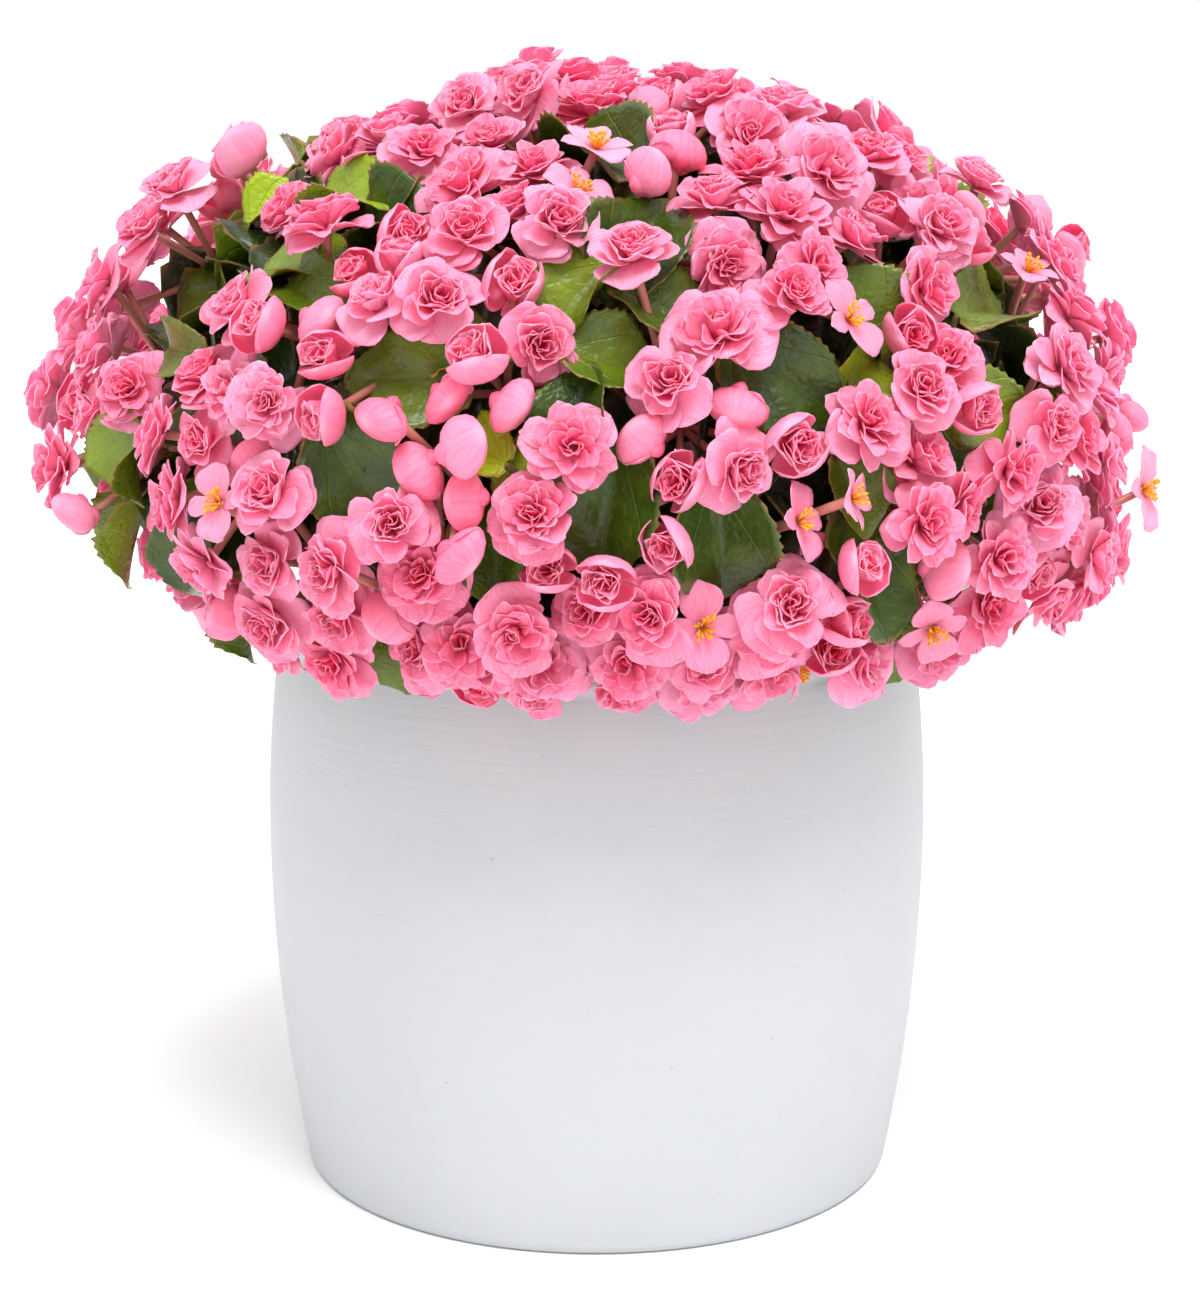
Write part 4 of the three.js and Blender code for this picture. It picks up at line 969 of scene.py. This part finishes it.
def new_material(name):
    material = bpy.data.materials.new(name)
    material.use_nodes = True
    return material, Sheet(material.node_tree), material.node_tree.nodes["Principled BSDF"]


def new_group(name, inputs, outputs):
    """A node group that takes and gives single numbers."""
    group = bpy.data.node_groups.new(name, "ShaderNodeTree")
    for label, value in inputs.items():
        socket = group.interface.new_socket(label, in_out="INPUT", socket_type="NodeSocketFloat")
        socket.default_value = value
    for label in outputs:
        group.interface.new_socket(label, in_out="OUTPUT", socket_type="NodeSocketFloat")
    return Sheet(group), group.nodes.new("NodeGroupInput").outputs, group.nodes.new("NodeGroupOutput")


def streaks_group():
    """Fine veins that run along a petal, spread like a fan."""
    sheet, given, result = new_group("petal_streaks", {"Fineness": 34.0, "Spread": 0.3}, ["Mask", "Along"])
    across, along, _ = sheet.across_and_along()
    turn = sheet.maths("DIVIDE", across, sheet.maths("ADD", sheet.times(along, 0.3), 0.7))
    stretched = sheet.add("CombineXYZ", {0: sheet.times(turn, given["Fineness"]), 1: sheet.times(along, 2.2)})
    noise = sheet.noise(stretched.outputs[0], 1, 2)
    ramp = sheet.add("MapRange", {"Value": noise, "From Min": 0.42, "From Max": 0.68})
    sheet.feed(result, {"Mask": sheet.times(ramp.outputs[0], given["Spread"]), "Along": along})
    return sheet.tree


def petal_material():
    """Pink, deeper towards the heart as painted shade and along the veins, pale at the tip, with light coming
    through and a faint painted glow.
    """
    material, sheet, shader = new_material("begonia_petal")
    streaks = sheet.group(streaks_group())
    mask = sheet.times(streaks["Mask"], sheet.attribute("veined"))
    depth = 0.02
    # The heart number deepens the colour towards each bloom's hollow: painted shade.
    for name, share in PETAL_DEPTHS.items():
        depth = sheet.upon(depth, sheet.attribute(name), share)
    depth = sheet.maths("ADD", depth, mask, clamp=True)
    tip = sheet.times(sheet.less(streaks["Along"], 0.82), 2.2, clamp=True)
    colour = sheet.mixed(tip, sheet.mixed(depth, PETAL_PALE, PETAL_DEEP), PETAL_EDGE)
    height = sheet.upon(sheet.noise(sheet.place(), 360, 3), mask, 0.6)
    sheet.feed(shader, {
        "Base Color": colour, "Roughness": 0.48, "Specular IOR Level": 0.32,
        "Normal": sheet.bump(height, 0.6, 0.0007), "Subsurface Weight": 0.4,
        "Subsurface Radius": (1.0, 0.3, 0.4), "Subsurface Scale": 0.003,
        # A faint glow in the petal's own colour lifts its shaded folds: painted light.
        "Emission Color": sheet.mixed(1.0, colour, PETAL_GLOW, "MULTIPLY"), "Emission Strength": 0.03})
    return material


def veins_group():
    """The veins that fan out from a leaf's stalk, the net between them and the leaf's edge."""
    sheet, given, result = new_group("leaf_veins", {"Width": 0.01}, ["Main", "Net", "Edge"])
    across, up, flat = sheet.across_and_along()
    along = sheet.maths("ADD", up, 0.02)
    sector = sheet.maths("DIVIDE", sheet.maths("ARCTAN2", across, along), VEIN_ANGLE)
    offset = sheet.maths("ABSOLUTE", sheet.less(sector, sheet.maths("ROUND", sector)))
    away = sheet.times(sheet.times(offset, VEIN_ANGLE), sheet.length(across, along))
    main = sheet.less(1.0, sheet.maths("DIVIDE", away, given["Width"]), clamp=True)
    scaled = sheet.add("VectorMath", {0: flat, "Scale": 13}, operation="SCALE").outputs[0]
    net = sheet.add("TexVoronoi", {"Vector": scaled, "Scale": 1}, feature="DISTANCE_TO_EDGE")
    raised = sheet.add("MapRange", {"Value": net.outputs["Distance"], "From Max": 0.3},
                       interpolation_type="SMOOTHSTEP")
    ring = sheet.length(sheet.maths("DIVIDE", across, WIDEST_HALF),
                        sheet.maths("DIVIDE", sheet.less(up, 0.46), 0.53))
    edge = sheet.times(sheet.less(ring, 0.93), 12.0, clamp=True)
    sheet.feed(result, {"Main": main, "Net": raised.outputs[0], "Edge": edge})
    return sheet.tree


def leaf_material():
    """Green in patches, with paler veins, a tan margin and a glossy, puckered skin."""
    material, sheet, shader = new_material("begonia_leaf")
    veins = sheet.group(veins_group())
    place = sheet.place()
    patches = sheet.noise(place, 55, 3)
    shade = sheet.less(sheet.upon(sheet.attribute("leaf_tone"), patches, 0.5), 0.23)
    ramp = sheet.add("ValToRGB", {"Fac": sheet.upon(shade, veins["Main"], 0.12)})
    elements = ramp.color_ramp.elements
    elements[0].color, elements[1].color = (*LEAF_DARKEST, 1), (*LEAF_BRIGHTEST, 1)
    for at, colour in LEAF_COLOURS:
        elements.new(at).color = (*colour, 1)
    height = sheet.upon(sheet.times(veins["Net"], 0.3), veins["Main"], -0.45)
    height = sheet.upon(height, sheet.noise(place, 900, 2), 0.25)
    height = sheet.upon(height, patches, 2.4)
    sheet.feed(shader, {
        "Base Color": sheet.mixed(sheet.times(veins["Edge"], 0.75), ramp.outputs["Color"], LEAF_EDGE),
        "Normal": sheet.bump(height, 0.65, 0.0011), "Roughness": sheet.upon(0.14, patches, 0.3),
        "Specular IOR Level": 0.3, "Coat Weight": 0.25, "Coat Roughness": 0.2, "Subsurface Weight": 0.06,
        "Subsurface Radius": (0.4, 1.0, 0.1), "Subsurface Scale": 0.001})
    return material


def plain_material(name, colour, dark, scale, roughness, bump_strength=0.3, bump_distance=0.0003):
    """A mottled surface: two colours mixed by noise, with the same noise as a fine bump."""
    material, sheet, shader = new_material(name)
    noise = sheet.noise(sheet.place(), scale, 5)
    sheet.feed(shader, {"Base Color": sheet.mixed(noise, colour, dark), "Roughness": roughness,
                        "Normal": sheet.bump(noise, bump_strength, bump_distance)})
    return material


def glaze_material():
    """Matt white slip over clay: faint throwing lines, soft clouds and a few dark pits."""
    material, sheet, shader = new_material("white_slip")
    place = sheet.place()
    clouds = sheet.noise(place, 14, 4)
    flattened = sheet.add("Mapping", {"Vector": place, "Scale": (9, 9, 420)})
    rings = sheet.noise(flattened.outputs[0], 1, 3)
    grain = sheet.noise(place, 750, 2)
    cells = sheet.add("TexVoronoi", {"Vector": place, "Scale": 95}).outputs
    chosen = sheet.add("SeparateColor", {0: cells["Color"]}).outputs[0]
    near = sheet.less(1.0, sheet.times(cells["Distance"], 11.0), clamp=True)
    pit = sheet.times(sheet.maths("GREATER_THAN", chosen, 0.93), near)
    shade = sheet.upon(sheet.upon(clouds, rings, 0.3), grain, 0.3)
    height = sheet.upon(sheet.upon(sheet.upon(clouds, rings, 0.8), grain, 0.3), pit, -1.5)
    sheet.feed(shader, {
        "Base Color": sheet.mixed(sheet.times(pit, 0.55), sheet.mixed(shade, SLIP, SLIP_SHADE), SLIP_PIT),
        "Normal": sheet.bump(height, 0.3, 0.0006), "Roughness": sheet.upon(0.42, clouds, 0.2),
        "Specular IOR Level": 0.35})
    return material


PETAL = petal_material()
LEAF = leaf_material()
STALK = plain_material("bloom_stalk", (0.52, 0.27, 0.17), (0.55, 0.13, 0.15), 60, 0.45)
STEM = plain_material("leaf_stalk", (0.16, 0.17, 0.05), (0.22, 0.10, 0.05), 40, 0.45)
ANTHER = plain_material("stamens", (0.95, 0.50, 0.03), (0.85, 0.30, 0.01), 500, 0.6)
GLAZE = glaze_material()
COMPOST = plain_material("compost", (0.012, 0.008, 0.005), (0.05, 0.033, 0.02), 260, 0.95, 0.9, 0.003)
PAPER = plain_material("white_paper", (0.93, 0.93, 0.93), (0.9, 0.9, 0.9), 3, 0.9, 0.02)

# ---- pot and soil
CENTRE_RING, RIM_ROUND, INNER_ROUND, COLLAR_ROUND, HOLE_TURN = 60, 3.2, 2.6, 1.4, 45


def outer_radius(z):
    above = z > BELLY_HEIGHT
    share = (z - BELLY_HEIGHT) / (POT_HEIGHT - BELLY_HEIGHT if above else -BELLY_HEIGHT)
    return BELLY_RADIUS - (BELLY_RADIUS - (RIM_RADIUS if above else FOOT_RADIUS)) * share ** 2


def pot_profile():
    """Radius and height of each ring of the pot, from its foot over its rim and down to its floor."""
    collar = POT_HEIGHT - COLLAR_DEPTH
    foot = [(outer_radius(FOOT_ROUND) - FOOT_ROUND * (1 - sin(turn)), FOOT_ROUND * (1 - cos(turn)))
            for turn in (pi / 6, pi / 3, pi / 2)]
    wall = [(outer_radius(z), z) for z in [*np.linspace(12, collar - 3, 22), collar]]
    step = [(outer_radius(collar) + COLLAR_STEP, collar + COLLAR_ROUND)]
    band = [(outer_radius(z) + COLLAR_STEP * (POT_HEIGHT - z) / COLLAR_DEPTH, z)
            for z in np.linspace(collar + 4, POT_HEIGHT - RIM_ROUND, 4)]
    rim = [(RIM_RADIUS - RIM_ROUND * (1 - cos(turn)), POT_HEIGHT - RIM_ROUND * (1 - sin(turn)))
           for turn in np.linspace(0.4, pi / 2, 4)]
    inner = [(RIM_RADIUS - WALL + INNER_ROUND, POT_HEIGHT), (RIM_RADIUS - WALL, POT_HEIGHT - INNER_ROUND)]
    inner += [(outer_radius(z) - WALL, z) for z in (SOIL_TOP, 157, 90, FLOOR_DEPTH)]
    return [(CENTRE_RING, 0), (FOOT_RADIUS - FOOT_ROUND, 0), *foot, *wall, *step, *band, *rim, *inner,
            (CENTRE_RING, FLOOR_DEPTH)]


def build_pot():
    profile = pot_profile()
    bpy.ops.mesh.primitive_circle_add(vertices=128, radius=CENTRE_RING, fill_type="NGON")
    pot = added("begonia_pot")
    drawn_up(pot, [(next_z - z, next_radius / radius, next_z)
                   for (radius, z), (next_radius, next_z) in zip(profile, profile[1:])])
    for k in range(DRAIN_HOLES):
        turn = radians(HOLE_TURN + 360 * k / DRAIN_HOLES)
        bpy.ops.mesh.primitive_cylinder_add(
            vertices=24, radius=DRAIN_RADIUS, depth=3 * FLOOR_DEPTH,
            location=(DRAIN_CIRCLE * cos(turn), DRAIN_CIRCLE * sin(turn), 0))
        hole = added("drain_hole")
        applied(pot, "BOOLEAN", operation="DIFFERENCE", object=hole, solver="EXACT")
        bpy.data.objects.remove(hole)
    finished("begonia_pot", [pot], "pot", GLAZE)


build_pot()
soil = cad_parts["soil"]
soil.data.materials.clear()
soil.data.materials.append(COMPOST)

# ---- the plant
PLANT_SEED, INNER_SEED, INNER_LEAVES, INNER_LEAF_LOW = 5, 7, 220, 285
TONES = {"d": 0.26, "m": 0.48, "o": 0.6, "l": 0.76, "y": 0.97}
# The first letter of each front leaf's tone: dark, mid, olive, light or young.
FRONT_TONES = "moldymddommyydddddddmlmoolmdmlmymmdoomm"
# How far each kind of bloom nods to one side, and where its stalk meets it, as a share of its radius.
NODS = {"R": 0.4, "C": 0.3, "B": 0.5, "S": 0.5}
CLOSED_BUD_NOD = 1.7
NECKS = {"R": 0.24, "C": 0.2, "B": 0.36, "S": 0.1}
# Radii at the two ends of a bloom's stalk, of a bunch's stalk, and of the stalk between its hubs.
BLOOM_ROD, BUNCH_ROD, HUB_ROD = (1.5, 1.9), (2.6, 2.2), (2.2, 2.0)
# Azimuth, elevation and tone of a few leaves that close the gaps at the two sides of the mound.
SIDE_LEAVES = [
    (-72, 50, 0.72), (-66, 38, 0.5), (-80, 40, 0.6), (-58, 56, 0.55), (-76, 28, 0.4), (-84, 14, 0.5),
    (70, 47, 0.55), (77, 36, 0.45), (64, 54, 0.7), (82, 24, 0.4), (86, 8, 0.5), (-88, 0, 0.4),
    (58, -4, 0.35), (40, -8, 0.3), (-50, -8, 0.35), (-84, 55, 0.6), (84, 52, 0.5), (70, 4, 0.4)]


def bloom_copy(bloom, draw):
    """One bloom: a copy of one of its kind's masters, turned, stretched a little and set on its stalk."""
    number = int(draw() * len(BLOOMS[bloom.kind]))
    closed = bloom.kind == "B" and number % 2 == 0
    outward = bloom.axis
    nod = 2 * pi * draw()
    share = (CLOSED_BUD_NOD if closed else NODS[bloom.kind]) * (0.4 + 0.6 * draw())
    axis = unit(outward + share * around(outward, nod))
    across = around(axis, bloom.turn)
    if closed:
        across = unit(np.cross(axis, outward) + 0.5 * (draw() - 0.5) * outward)
        across = square_to(axis, across)
    sizes = [bloom.radius * (0.94 + 0.14 * draw()) for _ in range(2)] + [bloom.radius * (0.9 + 0.25 * draw())]
    directions = (across, np.cross(axis, across), axis)
    columns = [np.append(direction * size, 0) for direction, size in zip(directions, sizes)]
    matrix = Matrix(np.column_stack([*columns, np.append(bloom.point, 1)]).tolist())
    tone = draw()
    flower = copy_of(BLOOMS[bloom.kind][number], matrix)
    paint(flower, bloom_tone=0.35 + 0.65 * tone if bloom.kind == "B" else 0.75 * tone)
    tuft = [copy_of(TUFTS[int(draw() * 2)], matrix)] if bloom.kind == "S" else []
    return flower, tuft, axis if closed else outward


def build_bunch(plan, draw):
    petals, tufts, rods = [], [], []
    for bloom in plan.blooms:
        flower, tuft, neck_axis = bloom_copy(bloom, draw)
        petals.append(flower)
        tufts += tuft
        neck = bloom.point - neck_axis * NECKS[bloom.kind] * bloom.radius
        middle = (neck + bloom.hub) / 2 - neck_axis * 3
        rods.append(along_run(ROD, (bloom.hub, middle, neck), BLOOM_ROD))
    first = plan.hubs[0]
    inward = -facing(first)
    rods.append(along_run(ROD, (plan.foot, (plan.foot + first) / 2 + inward * 2, first), BUNCH_ROD))
    for hub in plan.hubs[1:]:
        rods.append(along_run(ROD, (first, (first + hub) / 2 + inward * 3, hub), HUB_ROD))
    node = f"bloom_bunch_{plan.number:02d}"
    finished(f"blooms_{plan.number:02d}", petals, node, PETAL)
    finished(f"bloom_stalks_{plan.number:02d}", rods, node, STALK)
    if tufts:
        finished(f"stamens_{plan.number:02d}", tufts, node, ANTHER)


def inner_leaves(stems):
    """Smaller leaves deeper in the mound, which close it behind the blooms, darkened as painted shade."""
    draw = seeded(INNER_SEED)
    leaves = []
    for k in range(INNER_LEAVES + len(SIDE_LEAVES)):
        azimuth = (k * GOLDEN_ANGLE) % 360
        elevation = -12 + 96 * ((k + 0.5) / INNER_LEAVES) ** 0.9
        lift = 0.7 + 0.18 * draw()
        # Inner leaves get dark tones: painted shade deep in the mound.
        tone = 0.32 * draw() ** 2
        if k >= INNER_LEAVES:
            azimuth, elevation, tone = SIDE_LEAVES[k - INNER_LEAVES]
            lift = 0.84
        point = shell_point(azimuth, elevation, lift)
        point[2] = max(point[2], INNER_LEAF_LOW)
        outward = facing(point)
        side, top = frame_across(outward)
        axis = unit(outward + side * 0.9 * (draw() - 0.5) + top * (0.5 * draw() + 0.1))
        turn = radians(100 + 160 * draw())
        ahead = square_to(axis, side * sin(turn) + top * cos(turn))
        length = 44 + 18 * draw()
        base = point - ahead * length * 0.5
        spots = [(stem, on_curve(curve, j / 20)) for stem, curve in enumerate(stems) for j in range(7, 20)]
        stem, foot = min(spots, key=lambda spot: np.linalg.norm(spot[1] - base))
        leaves.append(SimpleNamespace(length=length, wave=draw() * 2 * pi, axis=axis, ahead=ahead,
                                      base=base, stem=stem, foot=foot, tone=tone, master=INNER_LEAF_MASTER))
    return leaves


def build_leafy_stem(number, curve, leaves):
    root, middle, end = curve
    blades = []
    rods = [along_run(STEM_ROD, (root, middle, end + (end - middle) * 0.04),
                      (STEM_RADIUS * 1.05, STEM_RADIUS * 0.7))]
    for leaf in leaves:
        blades.append(grown_leaf(leaf))
        start = leaf.base - leaf.axis * 0.4
        droop = np.array([0, 0, -0.06]) * np.linalg.norm(start - leaf.foot)
        rods.append(along_run(ROD, (leaf.foot, (start + leaf.foot) / 2 + droop, start),
                              (LEAF_STALK * 1.15, LEAF_STALK * 0.8)))
    node = f"leafy_stem_{number:02d}"
    finished(f"leaves_{number:02d}", blades, node, LEAF)
    finished(f"stems_{number:02d}", rods, node, STEM)


def build_plant():
    stems, plans, leaves = lay_out()
    draw = seeded(PLANT_SEED)
    for plan in plans:
        build_bunch(plan, draw)
    for k, leaf in enumerate(leaves):
        leaf.tone = TONES[FRONT_TONES[k]] if k < len(FRONT_TONES) else 0.2 + 0.5 * draw()
        leaf.master = LEAF_MASTER
    leaves += inner_leaves(stems)
    for stem, curve in enumerate(stems):
        build_leafy_stem(stem + 1, curve, [leaf for leaf in leaves if leaf.stem == stem])


build_plant()
for master in [*GUARDS, *FRILLS, *HEARTS, *CUPS, *SPIKES, CLOSED_BUD, BUD_SHELL, *sum(BLOOMS.values(), []),
               *TUFTS, ROD, STEM_ROD, LEAF_MASTER, INNER_LEAF_MASTER]:
    bpy.data.objects.remove(master)

# ---- floor, light and camera
ROOM_LIGHT = (0.5, 1.45)
KEY_POWER, KEY_ANGLE, KEY_FROM = 2.6, 30, (0.14, -0.46, 1.0)
FOCAL_PIXELS, LONG_SIDE_PIXELS, SENSOR = 2680, 1309, 36
CAMERA_PLACE, CAMERA_PITCH = (0.0015, -1.202, 0.468), 0.1925


def build_stage():
    scene = bpy.context.scene
    bpy.ops.mesh.primitive_plane_add(size=40, location=(0, 0, 0))
    floor = added("floor")
    floor.data.materials.append(PAPER)
    # The room is lit more from above than from below, and looks plain white to the camera.
    world = bpy.data.worlds.new("soft_room")
    scene.world = world
    world.use_nodes = True
    sheet = Sheet(world.node_tree)
    parts = sheet.add("SeparateXYZ", {0: sheet.add("NewGeometry").outputs["Incoming"]})
    rise = sheet.add("MapRange", {"Value": parts.outputs[2], "From Min": 0, "From Max": -1,
                                  "To Min": ROOM_LIGHT[0], "To Max": ROOM_LIGHT[1]})
    seen = sheet.add("LightPath").outputs["Is Camera Ray"]
    sheet.feed(world.node_tree.nodes["Background"],
               {0: (1, 1, 1, 1), 1: sheet.upon(seen, rise.outputs[0], sheet.less(1.0, seen))})
    data = bpy.data.lights.new("key_light", "SUN")
    data.energy, data.angle = KEY_POWER, radians(KEY_ANGLE)
    linked("key_light", data).rotation_euler = Vector(KEY_FROM).to_track_quat("Z", "Y").to_euler()
    scene.view_settings.view_transform = "Standard"
    scene.view_settings.look = "None"
    data = bpy.data.cameras.new("camera")
    data.lens = SENSOR * FOCAL_PIXELS / LONG_SIDE_PIXELS
    data.sensor_width = SENSOR
    data.clip_start, data.clip_end = 0.05, 100
    scene.camera = linked("camera", data)
    scene.camera.location = CAMERA_PLACE
    scene.camera.rotation_euler = (pi / 2 - CAMERA_PITCH, 0, 0)


build_stage()
